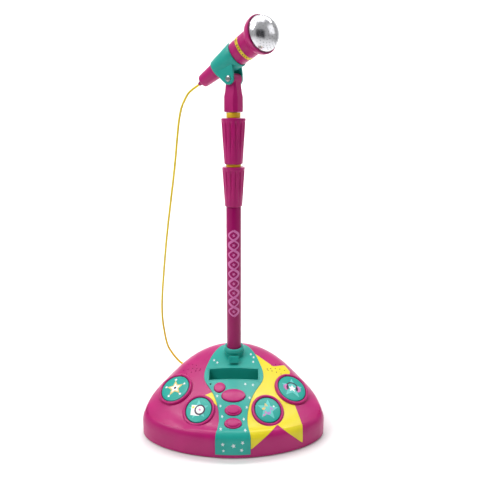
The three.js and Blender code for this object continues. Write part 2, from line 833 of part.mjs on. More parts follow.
function buildBand() {
  const { x0, x1, r } = BAND;
  return turnedX([[18.2, x0], [r, x0], [r, x1], [18.2, x1], [18.2, x0]], 20);
}

// The tapered sleeve that keeps the cord from kinking at the handle's tail.
function buildBoot() {
  const bore = CORD.d / 2 + GAP;
  return turnedX(
    [
      [bore, TAIL_X + 5],
      [3, TAIL_X + 5],
      [3, TAIL_X - GAP],
      [4.4, TAIL_X - GAP],
      [3.4, TAIL_X - 8],
      [0, TAIL_X - 8],
      [0, TAIL_X - 4],
      [bore, TAIL_X - 4],
      [bore, TAIL_X + 5],
    ],
    16,
  );
}

function buildMicrophone() {
  const hinge = new THREE.Group();
  hinge.position.set(0, POLE_Y, HINGE_Z);
  hinge.rotation.set(0, -MIC_RISE, MIC_HEADING - 90 * DEG, "ZYX");
  root.add(hinge);
  addPiece("clip_sleeve", buildClip(), material("teal"), hinge);
  addPiece("hinge_bolt", buildBolt(), material("steel", 0.3, 1), hinge);
  addPiece("hinge_nut", buildNut(), material("steel", 0.3, 1), hinge);
  const mic = new THREE.Group();
  mic.position.z = SLEEVE.z;
  hinge.add(mic);
  addPiece("mic_handle", buildHandle(), material("magenta"), mic);
  addPiece("mic_band", buildBand(), material("gold", 0.3, 0.8), mic);
  addPiece("mic_head_cup", buildHeadCup(), material("magenta"), mic);
  addPiece("mic_grille", buildGrille(), material("silver", 0.2, 1), mic);
  const capsule = turnedX([[0, -9], [8, -9], [8, 2], [6, 4], [0, 4]], 20);
  addPiece("mic_capsule", placed(capsule, headMatrix()), material("black", 0.6), mic);
  addPiece("mic_cord_boot", buildBoot(), material("darkMagenta", 0.6), mic);
}

// ---- cord ----

// The hanging stretch, from the boot on the microphone to the coil behind the base.
const DROP = [
  [-59.4, 74, 573.6],
  [-64, 77, 570.4],
  [-71, 79.8, 566.2],
  [-79.5, 83, 559],
  [-86.5, 86, 548],
  [-93, 88, 534],
  [-98, 90, 513],
  [-102, 91, 484],
  [-109, 93, 426],
  [-118, 96, 366],
  [-127, 98, 304],
  [-135, 101, 239],
  [-142, 104, 172],
  [-144, 108, 128],
  [-141, 110, 92],
  [-136, 113, 62],
  [-126, 115, 41],
  [-113, 117, 23],
  [-105, 118, 17],
  [-97, 119, 12],
  [-88, 121, 7],
  [-79, 124.5, 4],
  [-71.5, 131, 2.7],
  [-67, 139, 2.4],
  [-65.9, 147.1, 2.4],
];

// The short lead from the coil into the gland in the back of the base.
const LEAD = [
  [-20, 174, 5],
  [-11, 167, 6],
  [-1, 159, 9],
  [8, 151, 12],
  [14, 143, 13.6],
  [16, 134.4, 14],
];

function buildTube(route, stepLength) {
  const curve = new THREE.CatmullRomCurve3(route.map(([x, y, z]) => new THREE.Vector3(x, y, z)));
  const outline = new THREE.Shape();
  outline.absarc(0, 0, CORD.d / 2, 0, 2 * Math.PI, false);
  const section = new THREE.Shape(outline.getPoints(4).slice(0, -1));
  const steps = Math.round(curve.getLength() / stepLength);
  return solid(new THREE.ExtrudeGeometry(section, { steps, bevelEnabled: false, extrudePath: curve }));
}

function buildGland() {
  const profile = [
    [CORD.d / 2 + GAP, -7],
    [3.8, -7],
    [3.8, 0.9],
    [6.2, 0.9],
    [6.2, 2.6],
    [4.6, 3.4],
    [3.2, 15],
    [0, 15],
    [0, 12],
    [CORD.d / 2 + GAP, 12],
    [CORD.d / 2 + GAP, -7],
  ];
  return turned(profile, 16).rotate([-90, 0, 0]).translate([GLAND.x, GLAND.y, GLAND.z]);
}

function buildCord() {
  const look = material("yellow", 0.45);
  const ring = pipe(
    CORD.coilR + CORD.coilHalfWidth,
    CORD.coilR - CORD.coilHalfWidth,
    CORD.lowZ,
    CORD.lowZ + CORD.coilHeight,
    20,
  );
  addPiece("cord_drop", buildTube(DROP, 2.8 * CORD.d), look);
  addPiece("cord_coil", ring.translate([CORD.coilX, CORD.coilY, 0]), look);
  addPiece("cord_lead", buildTube(LEAD, 2 * CORD.d), look);
  addPiece("cord_gland", buildGland(), material("darkMagenta", 0.6));
}

buildBase();
buildStand();
buildMicrophone();
buildCord();

export default root;
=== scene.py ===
from math import cos, hypot, pi, radians, sin, sqrt

import bmesh
import bpy
from mathutils import Matrix, Vector


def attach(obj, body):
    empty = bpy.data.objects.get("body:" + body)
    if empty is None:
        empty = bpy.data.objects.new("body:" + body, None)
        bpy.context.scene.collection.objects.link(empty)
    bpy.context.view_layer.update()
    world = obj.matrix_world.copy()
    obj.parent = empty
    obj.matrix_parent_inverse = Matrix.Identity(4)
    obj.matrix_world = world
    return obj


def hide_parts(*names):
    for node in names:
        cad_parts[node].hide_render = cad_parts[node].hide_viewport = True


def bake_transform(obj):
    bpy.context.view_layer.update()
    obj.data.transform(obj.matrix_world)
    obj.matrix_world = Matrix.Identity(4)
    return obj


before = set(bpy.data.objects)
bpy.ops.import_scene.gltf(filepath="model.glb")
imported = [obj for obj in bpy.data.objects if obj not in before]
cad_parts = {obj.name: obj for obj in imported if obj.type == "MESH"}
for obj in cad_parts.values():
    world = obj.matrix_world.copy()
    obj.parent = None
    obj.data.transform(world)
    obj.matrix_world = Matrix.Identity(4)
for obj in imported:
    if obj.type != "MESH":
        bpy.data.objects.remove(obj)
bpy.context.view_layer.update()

# A toy stand microphone on a sound base. Shapes are worked out in millimetres in the frame of
# the CAD model, and written to the meshes in metres.
MM = 0.001

# ---- driving dimensions ----

POLE_Y = 36
HALF_WIDTH, WIDEST_Y, FRONT_DEPTH, BACK_DEPTH, FRONT_POWER = 151, -58, 62, 178, 1.85
RIM_Z, TOP_Z, CREASE_Z, STEEP_Z = 1, 93, 40, 24
FRONT_SLOPE, TOP_SOFTNESS, CROSS_FALL = 0.34, 30, 0.0012
SHOULDER_WIDTH, SHOULDER_POWER = 57, 2.2
WALL = 3
GAP = 0.3
PANEL_PROUD, PANEL_DEPTH, PANEL_LOW_Z = 0.9, 1.2, 7.5
PANEL_SIDE = [
    (0, 66), (22, 61), (37, 40), (48, 10), (51.5, -6), (49.5, -22),
    (35, -46), (26, -68), (22.5, -88), (24, -104), (27, -116), (28, -130),
]
TRAY = {"width": 89, "depth": 26, "y": -10.5, "floor": 58, "wall": 1.6}
BUTTONS = {
    "power_button": (-23.5, -37.5, 9.7, 9.7, 3.2),
    "main_button": (0, -53, 20, 12, 3.6),
    "upper_oval_button": (0, -77, 13.7, 9, 3.2),
    "lower_oval_button": (0, -97, 13.7, 9, 3.2),
}
PADS = {
    "pad_upper_left": (-100, -28, 24.3),
    "pad_upper_right": (100, -28, 24.3),
    "pad_lower_left": (-56, -73, 21.1),
    "pad_lower_right": (56, -73, 21.1),
}
PAD_GAP, RING_WIDTH, RING_PROUD, RING_DEEP = 0.8, 4.6, 3, 8.6
LIGHT = (-39.5, -29.5)
HOLE_R, LIGHT_HOLE_R, CORD_HOLE_R = 0.9, 1.8, 4.2
FEET = {
    "front_left": (-85, -85),
    "front_right": (85, -85),
    "rear_left": (-52, 86),
    "rear_right": (52, 86),
}
SOCKET_R, SOCKET_BORE, SOCKET_Z0 = 16, 13.3, 44
LATCH = {"half": 9.6, "height": 13, "thick": 4, "lean": 24, "ahead": 28, "z": 84.6}
LOWER_TUBE_R = 13
TUBES = {
    "lower_tube": {"body": "base", "r": LOWER_TUBE_R, "bore": 11.3, "z0": 46, "z1": 426},
    "middle_tube": {"body": "middle_tube", "r": 11, "bore": 9.35, "z0": 215, "z1": 506},
    "upper_tube": {"body": "upper_tube", "r": 9, "bore": 7, "z0": 300, "z1": 522},
}
COLLARS = {
    "lower_collar": {"z0": 367, "z1": 435, "r0": 15, "r1": 19.5, "bore": 11.3},
    "upper_collar": {"z0": 440, "z1": 516.5, "r0": 15.7, "r1": 20.7, "bore": 11.3},
}
COLLAR_RINGS = {
    "lower_collar_ring": {"body": "lower_collar", "r": 12.8, "bore": 11.3, "z0": 435.3, "z1": 439.7},
    "upper_collar_ring": {"body": "upper_collar", "r": 11.9, "bore": 9.3, "z0": 516.8, "z1": 525.7},
}
FLUTES, FLUTE_DEPTH = 14, 1.7
RIBBON_Z0, RIBBON_Z1, RIBBON_WAVES, RIBBON_SWING, RIBBON_R = 168, 326, 4.5, 9.4, 13.08
HINGE_Z = 579
MIC_HEADING, MIC_RISE = radians(57.4), radians(29.8)
SLEEVE_X, SLEEVE_Z, SLEEVE_LENGTH, REAR_R, FRONT_R, SLEEVE_WALL = 2.9, 30.3, 45, 16.5, 21.75, 2.4
EAR_Y, EAR_THICK, EAR_R = 13.4, 3.5, 9.5
TAIL_X = SLEEVE_X - SLEEVE_LENGTH / 2 - 36
BAND_X0, BAND_X1 = 39.4, 44.2
HEAD_X, HEAD_BEND, HEAD_ROLL = 77.4, radians(24), radians(-136)
DOME_R, DOME_INNER_R, DOME_HEIGHT, DOME_FOOT, DOME_LOW = 28.2, 26.4, 23, 3, -1.5
DOME_HOLES, DOME_HOLES_REACH = 130, 1.28
CORD_R = 2
COIL_X, COIL_Y = -38, 152
GLAND = Vector((16, 119, 14))

# The cord's route, as in the CAD model: the hanging stretch and the lead into the base.
DROP = [
    (-59.4, 74, 573.6), (-64, 77, 570.4), (-71, 79.8, 566.2), (-79.5, 83, 559), (-86.5, 86, 548),
    (-93, 88, 534), (-98, 90, 513), (-102, 91, 484), (-109, 93, 426), (-118, 96, 366),
    (-127, 98, 304), (-135, 101, 239), (-142, 104, 172), (-144, 108, 128), (-141, 110, 92),
    (-136, 113, 62), (-126, 115, 41), (-113, 117, 23), (-105, 118, 17), (-97, 119, 12),
    (-88, 121, 7), (-79, 124.5, 4), (-71.5, 131, 2.7), (-67, 139, 2.4), (-65.9, 147.1, 2.4),
]
LEAD = [(-20, 174, 5), (-11, 167, 6), (-1, 159, 9), (8, 151, 12), (14, 143, 13.6), (16, 134.4, 14)]

MIC = (
    Matrix.Translation((0, POLE_Y, HINGE_Z))
    @ Matrix.Rotation(MIC_HEADING - pi / 2, 4, "Z")
    @ Matrix.Rotation(-MIC_RISE, 4, "Y")
)
BARREL = MIC @ Matrix.Translation((0, 0, SLEEVE_Z))
HEAD_AXIS = Vector((cos(HEAD_BEND), sin(HEAD_BEND) * cos(HEAD_ROLL), sin(HEAD_BEND) * sin(HEAD_ROLL)))
HEAD = (
    BARREL
    @ Matrix.Translation((HEAD_X, 0, 0))
    @ Vector((1, 0, 0)).rotation_difference(HEAD_AXIS).to_matrix().to_4x4()
)
POLE = Matrix.Translation((0, POLE_Y, 0))
ALONG_X = Matrix.Rotation(pi / 2, 4, "Y")


# ---- camera, floor and lights ----

def add_camera():
    data = bpy.data.cameras.new("camera")
    data.lens = 33
    data.shift_y = -0.079
    camera = bpy.data.objects.new("camera", data)
    camera.location = (0.011, -0.711, 0.519)
    camera.rotation_euler = (radians(79), 0, 0)
    bpy.context.scene.collection.objects.link(camera)
    bpy.context.scene.camera = camera


def add_area(name, place, aim, size, watts):
    data = bpy.data.lights.new(name, "AREA")
    data.shape = "RECTANGLE"
    data.size, data.size_y = size
    data.energy = watts
    light = bpy.data.objects.new(name, data)
    light.location = place
    light.rotation_euler = (Vector(aim) - Vector(place)).to_track_quat("-Z", "Y").to_euler()
    bpy.context.scene.collection.objects.link(light)


def add_studio():
    """A pale floor that rises into a backdrop, a bright room and soft lights."""
    half_width, front, turn_y, radius, top = 3, -2.5, 1.6, 1.2, 4
    profile = [(front, 0), (turn_y, 0)]
    profile += [(turn_y + radius * sin(a), radius * (1 - cos(a))) for a in steps(0, pi / 2, 16)]
    profile.append((turn_y + radius, top))
    points = [Vector((x, y, z)) / MM for y, z in profile for x in (-half_width, half_width)]
    faces = [(2 * i, 2 * i + 1, 2 * i + 3, 2 * i + 2) for i in range(len(profile) - 1)]
    floor = mesh_object("floor", points, faces)
    floor.data.materials.append(plain_floor())
    smooth(floor, 60)
    world = bpy.data.worlds.new("room")
    world.use_nodes = True
    world.node_tree.nodes["Background"].inputs["Color"].default_value = (1, 1, 1, 1)
    world.node_tree.nodes["Background"].inputs["Strength"].default_value = 0.42
    bpy.context.scene.world = world
    add_area("key", (-1.1, -0.5, 1.7), (0, 0, 0.3), (0.9, 0.9), 17)
    add_area("fill", (1.5, -0.3, 1.3), (0, 0, 0.3), (1.0, 1.0), 3)
    add_area("top", (0.0, 0.1, 2.1), (0, 0, 0.1), (1.2, 1.2), 8)
    add_area("backdrop_light", (0, 0.7, 2.3), (0, 2.6, 0.5), (3.0, 0.5), 75)
    add_dark_card()
    bpy.context.scene.view_settings.view_transform = "Standard"


def add_dark_card():
    """A dark card behind the camera. It keeps the front soft and shows in the grille."""
    corners = [(-0.55, 0.2), (0.75, 0.2), (0.75, 1.15), (-0.55, 1.15)]
    card = mesh_object("card", [Vector((x, -1.15, z)) / MM for x, z in corners], [(0, 1, 2, 3)])
    card.data.materials.append(MATERIALS["black_plastic"])
    card.visible_camera = False


# ---- numbers and outlines ----

def steps(first, last, count):
    return [first + (last - first) * i / count for i in range(count + 1)]


def spline(points, parts):
    """Points on a smooth curve through the given ones, with a number of parts to each stretch."""
    points = [Vector(p) for p in points]
    ends = [2 * points[0] - points[1]] + points + [2 * points[-1] - points[-2]]
    curve = []
    for a, b, c, d in zip(ends, ends[1:], ends[2:], ends[3:]):
        for i in range(parts):
            t = i / parts
            curve.append(
                b
                + (c - a) * (t / 2)
                + (2 * a - 5 * b + 4 * c - d) * (t * t / 2)
                + (3 * b - 3 * c + d - a) * (t ** 3 / 2)
            )
    return curve + [points[-1]]


def rounded(outline, radius, parts=5):
    """A closed outline with its corners rounded."""
    corners = [Vector(p) for p in outline]
    result = []
    for i, corner in enumerate(corners):
        before, after = corners[i - 1] - corner, corners[(i + 1) % len(corners)] - corner
        reach_back = min(radius, before.length * 0.45)
        reach_on = min(radius, after.length * 0.45)
        first, last = corner + before.normalized() * reach_back, corner + after.normalized() * reach_on
        for t in steps(0, 1, parts):
            result.append(first * (1 - t) ** 2 + corner * (2 * t * (1 - t)) + last * t * t)
    return result


def star_outline(radius, inner=0.45, turn=0.0, points=5):
    outline = []
    for i in range(2 * points):
        r = radius if i % 2 == 0 else radius * inner
        angle = turn + pi / 2 + i * pi / points
        outline.append(Vector((r * cos(angle), r * sin(angle))))
    return outline


def ellipse(rx, ry, count=48, x=0.0, y=0.0):
    return [Vector((x + rx * cos(a), y + ry * sin(a))) for a in steps(0, 2 * pi, count)[:-1]]


# ---- meshes ----

def mesh_object(name, points, faces):
    data = bpy.data.meshes.new(name)
    data.from_pydata([Vector(p) * MM for p in points], [], faces)
    data.validate()
    made = bpy.data.objects.new(name, data)
    bpy.context.scene.collection.objects.link(made)
    return made


def closed(name, points, faces):
    """A closed mesh with its faces turned outwards."""
    made = mesh_object(name, points, faces)
    work = bmesh.new()
    work.from_mesh(made.data)
    bmesh.ops.remove_doubles(work, verts=work.verts, dist=1e-7)
    bmesh.ops.recalc_face_normals(work, faces=work.faces)
    work.to_mesh(made.data)
    work.free()
    return made


def loft(name, rings, matrix=Matrix(), joined=False):
    """A closed form through rings of points. Joined, the last ring meets the first; else it is capped."""
    count = len(rings[0])
    points = [matrix @ Vector(p) for ring in rings for p in ring]
    faces = []
    pairs = len(rings) if joined else len(rings) - 1
    for k in range(pairs):
        low, high = k * count, (k + 1) % len(rings) * count
        for i in range(count):
            j = (i + 1) % count
            faces.append((low + i, low + j, high + j, high + i))
    if not joined:
        for k in (0, len(rings) - 1):
            middle = sum((points[k * count + i] for i in range(count)), Vector()) / count
            points.append(middle)
            hub = len(points) - 1
            faces += [(k * count + i, k * count + (i + 1) % count, hub) for i in range(count)]
    return closed(name, points, faces)


def lathe(name, profile, matrix=Matrix(), segments=72):
    """A form turned about Z from (radius, z) points that start and end on the axis, or form a loop."""
    loop = profile[0] == profile[-1]
    used = profile[:-1] if loop else profile
    turns = [(cos(a), sin(a)) for a in steps(0, 2 * pi, segments)[:-1]]
    rings = [[(max(r, 0.01) * c, max(r, 0.01) * s, z) for c, s in turns] for r, z in used]
    return loft(name, rings, matrix, joined=loop)


def prism(name, outline, z0, z1, matrix=Matrix(), bevel=0.0):
    """An outline pushed up along Z, with its upper and lower edges rounded off by a bevel."""
    outline = [Vector(p) for p in outline]
    count = len(outline)
    area = sum(outline[i - 1].cross(outline[i]) for i in range(count))
    side = 1 if area > 0 else -1

    def ring(inset, z):
        points = []
        for i in range(count):
            along = (outline[(i + 1) % count] - outline[i - 1]).normalized()
            inward = Vector((-along.y, along.x)) * side
            points.append((outline[i] + inward * inset).to_3d() + Vector((0, 0, z)))
        return points

    if bevel == 0:
        levels = [(0, z0), (0, z1)]
    else:
        arc = [(bevel * (1 - sin(a)), bevel * (1 - cos(a))) for a in steps(0, pi / 2, 4)]
        levels = [(inset, z0 + rise) for inset, rise in arc]
        levels += [(inset, z1 - rise) for inset, rise in reversed(arc)]
    rings = [ring(inset, z) for inset, z in levels]
    points = [matrix @ p for r in rings for p in r]
    faces = []
    for k in range(len(rings) - 1):
        for i in range(count):
            j = (i + 1) % count
            faces.append((k * count + i, k * count + j, (k + 1) * count + j, (k + 1) * count + i))
    faces.append(tuple(range(count)))
    faces.append(tuple(range((len(rings) - 1) * count, len(rings) * count)))
    return closed(name, points, faces)


def block(name, low, high, matrix=Matrix(), bevel=0.0):
    corners = [(low[0], low[1]), (high[0], low[1]), (high[0], high[1]), (low[0], high[1])]
    return prism(name, corners, low[2], high[2], matrix, bevel)


def tube(name, path, radius, sides=16):
    """A round tube along a path, with flat ends."""
    rings = []
    across = Vector((0, 1, 0))
    for i, point in enumerate(path):
        along = (path[min(i + 1, len(path) - 1)] - path[max(i - 1, 0)]).normalized()
        across = (across - along * across.dot(along)).normalized()
        other = along.cross(across)
        turns = [2 * pi * k / sides for k in range(sides)]
        rings.append([point + (across * cos(a) + other * sin(a)) * radius for a in turns])
    return loft(name, rings)


def combine(target, operation, *tools):
    """Cuts, joins or intersects the target with each tool, and deletes the tools."""
    for tool in tools:
        change = target.modifiers.new("change", "BOOLEAN")
        change.operation = operation
        change.solver = "MANIFOLD"
        change.object = tool
        bpy.context.view_layer.update()
        shown = target.evaluated_get(bpy.context.evaluated_depsgraph_get())
        result = bpy.data.meshes.new_from_object(shown)
        target.modifiers.clear()
        target.data = result
        bpy.data.objects.remove(tool)
    return target


def cut(target, *tools):
    return combine(target, "DIFFERENCE", *tools)


def join(target, *tools):
    return combine(target, "UNION", *tools)


def keep_inside(target, *tools):
    return combine(target, "INTERSECT", *tools)


def merge(name, parts):
    """Several separate forms as one mesh."""
    work = bmesh.new()
    for part in parts:
        work.from_mesh(part.data)
        bpy.data.objects.remove(part)
    data = bpy.data.meshes.new(name)
    work.to_mesh(data)
    work.free()
    made = bpy.data.objects.new(name, data)
    bpy.context.scene.collection.objects.link(made)
    return made


def smooth(piece, angle=32):
    piece.data.shade_smooth()
    piece.data.set_sharp_from_angle(angle=radians(angle))


def soften(piece, width, angle=35):
    """Rounds a piece's sharp edges, by a width in millimetres."""
    bevel = piece.modifiers.new("edges", "BEVEL")
    bevel.width = width * MM
    bevel.segments = 3
    bevel.limit_method = "ANGLE"
    bevel.angle_limit = radians(angle)
    bevel.harden_normals = False


def place(piece, name, body, slot, replaces=(), angle=32, material=None):
    """Names a finished piece, gives it its material and lets it ride on its body."""
    piece.name = name
    piece.data.name = name
    piece.data.materials.clear()
    piece.data.materials.append(material or MATERIALS[slot])
    smooth(piece, angle)
    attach(piece, body)
    if replaces:
        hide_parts(*replaces)
    return piece


# ---- materials ----

def linear(colour):
    """A display colour from 0 to 255 as a linear one."""
    shares = [c / 255 for c in colour]
    return [c / 12.92 if c <= 0.04045 else ((c + 0.055) / 1.055) ** 2.4 for c in shares] + [1]


def node_material(name):
    material = bpy.data.materials.new(name)
    material.use_nodes = True
    tree = material.node_tree
    return material, tree, tree.nodes["Principled BSDF"]


def add_noise(tree, scale, detail=3.0):
    place_node = tree.nodes.new("ShaderNodeTexCoord")
    noise = tree.nodes.new("ShaderNodeTexNoise")
    noise.inputs["Scale"].default_value = scale
    noise.inputs["Detail"].default_value = detail
    tree.links.new(place_node.outputs["Object"], noise.inputs["Vector"])
    return noise.outputs["Fac"]


def add_range(tree, source, low, high):
    change = tree.nodes.new("ShaderNodeMapRange")
    change.inputs["From Min"].default_value = 0.3
    change.inputs["From Max"].default_value = 0.7
    change.inputs["To Min"].default_value = low
    change.inputs["To Max"].default_value = high
    tree.links.new(source, change.inputs["Value"])
    return change.outputs["Result"]


def finish_material(name, colour, rough=(0.28, 0.36), vary=0.06, grain=(1400, 0.012),
                    metal=0.0, coat=0.0, patch=28):
    """Moulded plastic, metal or rubber: cloudy colour and gloss, and a fine grain."""
    material, tree, shader = node_material(name)
    cloud = add_noise(tree, patch)
    tones = tree.nodes.new("ShaderNodeValToRGB")
    base = linear(colour)
    tones.color_ramp.elements[0].position = 0.3
    tones.color_ramp.elements[1].position = 0.7
    tones.color_ramp.elements[0].color = [c * (1 - vary) for c in base[:3]] + [1]
    tones.color_ramp.elements[1].color = [min(1, c * (1 + vary)) for c in base[:3]] + [1]
    tree.links.new(cloud, tones.inputs["Fac"])
    tree.links.new(tones.outputs["Color"], shader.inputs["Base Color"])
    tree.links.new(add_range(tree, add_noise(tree, patch * 5), *rough), shader.inputs["Roughness"])
    bump = tree.nodes.new("ShaderNodeBump")
    bump.inputs["Strength"].default_value = grain[1]
    bump.inputs["Distance"].default_value = 0.0004
    tree.links.new(add_noise(tree, grain[0]), bump.inputs["Height"])
    tree.links.new(bump.outputs["Normal"], shader.inputs["Normal"])
    shader.inputs["Metallic"].default_value = metal
    shader.inputs["Coat Weight"].default_value = coat
    shader.inputs["Specular IOR Level"].default_value = 0.5 if metal else 0.3
    shader.inputs["Coat Roughness"].default_value = 0.12
    return material


def plain_floor():
    return finish_material("floor", (243, 243, 243), rough=(0.6, 0.7), vary=0.004, grain=(300, 0.01))


# Inks of the printed decoration.
PRINTS = {
    "silver_ink": (206, 218, 220),
    "white_ink": (240, 240, 238),
    "dark_ink": (58, 40, 66),
    "pink_ink": (214, 116, 180),
    "pale_teal_ink": (98, 196, 190),
    "lilac_ink": (170, 140, 200),
    "tan_ink": (222, 196, 120),
    "yellow_ink": (238, 224, 60),
}


def make_materials():
    made = {
        "magenta_plastic": finish_material("magenta", (178, 24, 108), coat=0.06),
        "dark_magenta_plastic": finish_material("dark_magenta", (156, 6, 94), coat=0.06),
        "teal_plastic": finish_material("teal", (34, 160, 148), coat=0.04),
        "yellow_plastic": finish_material("yellow", (228, 211, 40), coat=0.05, vary=0.03),
        "gold_trim": finish_material("gold", (240, 204, 48), vary=0.04, rough=(0.3, 0.4)),
        "silver_grille": finish_material("silver", (222, 222, 226), metal=1.0, rough=(0.2, 0.26),
                                         vary=0.02, grain=(700, 0.002)),
        "black_plastic": finish_material("black", (26, 26, 30), rough=(0.35, 0.5)),
        "cord_yellow": finish_material("cord", (240, 212, 56), rough=(0.35, 0.45), grain=(900, 0.12)),
        "switch_rubber": finish_material("switch_rubber", (214, 208, 190), rough=(0.6, 0.75)),
        "foot_rubber": finish_material("foot_rubber", (36, 36, 38), rough=(0.7, 0.85),
                                       grain=(1200, 0.2)),
        "board_green": finish_material("board", (28, 96, 52), rough=(0.35, 0.5), vary=0.15, patch=90),
        "screw_steel": finish_material("steel", (176, 178, 182), metal=1.0, rough=(0.22, 0.38)),
        "battery_metal": finish_material("battery", (70, 92, 140), metal=0.6, rough=(0.25, 0.4)),
    }
    for name, colour in PRINTS.items():
        made[name] = finish_material(name, colour, rough=(0.3, 0.42), vary=0.04, grain=(1500, 0.02))
    made["bright_gold"] = finish_material("bright_gold", (232, 205, 50), metal=0.35, rough=(0.22, 0.3))
    return made


# ---- base surface ----

def reach(dx, dy):
    """How far the base's outline is from the pole in a direction of the plan."""
    near, far = 0.0, 400.0
    for _ in range(34):
        r = (near + far) / 2
        y = POLE_Y + dy * r - WIDEST_Y
        power, depth = (FRONT_POWER, FRONT_DEPTH) if y < 0 else (2, BACK_DEPTH)
        if (abs(dx * r) / HALF_WIDTH) ** power + (abs(y) / depth) ** power < 1:
            near = r
        else:
            far = r
    return near


def crease_inset(dy):
    return 6 - 3 * dy


def height_at(dx, dy, r, edge):
    """Height of the top: a plane that falls to the front, with a round shoulder along the outline."""
    x, ahead = dx * r, -dy * r
    plane = TOP_Z - FRONT_SLOPE * (ahead + hypot(ahead, TOP_SOFTNESS)) / 2 - CROSS_FALL * x * x
    inward = edge - crease_inset(dy) - r
    shoulder = max(0, 1 - inward / SHOULDER_WIDTH) ** SHOULDER_POWER
    return plane - max(0, plane - CREASE_Z) * min(1, shoulder)


def crease_slope(dx, dy, edge):
    """How steeply the top falls where it meets the skirt."""
    rim = edge - crease_inset(dy)
    return max(0.4, height_at(dx, dy, rim - 1, edge) - height_at(dx, dy, rim, edge))


def top_height(x, y):
    r = hypot(x, y - POLE_Y)
    if r < 0.001:
        return TOP_Z - FRONT_SLOPE * TOP_SOFTNESS / 2
    dx, dy = x / r, (y - POLE_Y) / r
    return height_at(dx, dy, r, reach(dx, dy))


def skin_frame(x, y):
    """A frame on the skin: its origin on the surface and Z along the surface's normal."""
    step = 6
    slope_x = (top_height(x + step, y) - top_height(x - step, y)) / (2 * step)
    slope_y = (top_height(x, y + step) - top_height(x, y - step)) / (2 * step)
    normal = Vector((-slope_x, -slope_y, 1)).normalized()
    turn = Vector((0, 0, 1)).rotation_difference(normal).to_matrix().to_4x4()
    return Matrix.Translation((x, y, top_height(x, y))) @ turn


DIRECTIONS = [(cos(a), sin(a)) for a in steps(0, 2 * pi, 200)[:-1]]
EDGES = [reach(dx, dy) for dx, dy in DIRECTIONS]
TOP_SHARES = [0.005] + steps(0.06, 0.9, 17) + [0.93, 0.96, 0.98, 1]


def base_rings(offset, low_z):
    """Rings over the base's outer form, moved outwards by an offset, from the middle to the rim."""
    rings = []
    for share in TOP_SHARES:
        ring = []
        for (dx, dy), edge in zip(DIRECTIONS, EDGES):
            r = share * (edge - crease_inset(dy))
            out = r + share * offset
            ring.append((dx * out, POLE_Y + dy * out, height_at(dx, dy, r, edge) + offset))
        rings.append(ring)
    for t in steps(0, 1, 8)[1:]:
        ring = []
        for (dx, dy), edge in zip(DIRECTIONS, EDGES):
            inset = crease_inset(dy)
            bend_z = CREASE_Z - min(13, 0.9 * inset * crease_slope(dx, dy, edge))
            out = edge - inset * ((1 - t) ** 2 + 0.1 * 2 * t * (1 - t)) + offset
            z = CREASE_Z * (1 - t) ** 2 + bend_z * 2 * t * (1 - t) + STEEP_Z * t * t + offset * (1 - t)
            ring.append((dx * out, POLE_Y + dy * out, z))
        rings.append(ring)
    for inset, z in ((0, 14), (0.1, low_z + 1), (0.9, low_z)):
        ring = []
        for (dx, dy), edge in zip(DIRECTIONS, EDGES):
            out = edge - inset + offset
            ring.append((dx * out, POLE_Y + dy * out, z))
        rings.append(ring)
    return rings


def base_form(offset, low_z):
    return loft("form", base_rings(offset, low_z))


def panel_prism(margin):
    side = [(x + margin if x else 0, y + (0 if x else margin)) for x, y in PANEL_SIDE]
    right = spline(side, 8)
    left = [Vector((-p.x, p.y)) for p in right[1:]]
    return prism("cutter", left[::-1] + right, 0, 140)


def rod(rx, ry, z0, z1, matrix, count=48):
    return prism("cutter", ellipse(rx, ry, count), z0, z1, matrix)


def tray_block(margin, z0=TRAY["floor"] - TRAY["wall"], z1=140):
    half_x, half_y = TRAY["width"] / 2 + margin, TRAY["depth"] / 2 + margin
    return block("cutter", (-half_x, TRAY["y"] - half_y, z0), (half_x, TRAY["y"] + half_y, z1))


def pole_rod(radius, z0, z1):
    return rod(radius, radius, z0, z1, POLE, 72)


def button_rods(margin):
    """Cutters for the holes of the four buttons and of the status light."""
    made = []
    for x, y, rx, ry, _ in BUTTONS.values():
        made.append(rod(rx + margin, ry + margin, -9, 12, skin_frame(x, y)))
    return made + [rod(LIGHT_HOLE_R, LIGHT_HOLE_R, -9, 9, skin_frame(*LIGHT), 24)]


# ---- base ----

def speaker_places():
    """Two fans of small holes on the shoulders, one the mirror of the other."""
    places = []
    for row, radius in enumerate((8, 15, 23, 31, 39)):
        for k in range(2 if row < 2 else 3):
            angle = radians(8 + 25 * k - 5 * row)
            places.append((53 + radius * cos(angle), 1 + 0.75 * radius * sin(angle)))
    return [(sign * x, y) for x, y in places for sign in (-1, 1)]


def speaker_rods():
    """One cutter for all the speaker holes."""
    rods = [rod(HOLE_R, HOLE_R, -8, 4, skin_frame(x, y), 12) for x, y in speaker_places()]
    return merge("holes", rods)


def pad_ring(x, y, r):
    inner = r + PAD_GAP
    middle, half = inner + RING_WIDTH / 2, RING_WIDTH / 2
    arc = [(middle + half * cos(a), RING_PROUD - half + half * sin(a)) for a in steps(0, pi, 12)]
    profile = [(inner, -RING_DEEP), (middle + half + 0.5, -RING_DEEP), (middle + half + 0.5, 0.2)]
    profile += arc + [(inner, -RING_DEEP)]
    return lathe("ring", profile, skin_frame(x, y), 72)


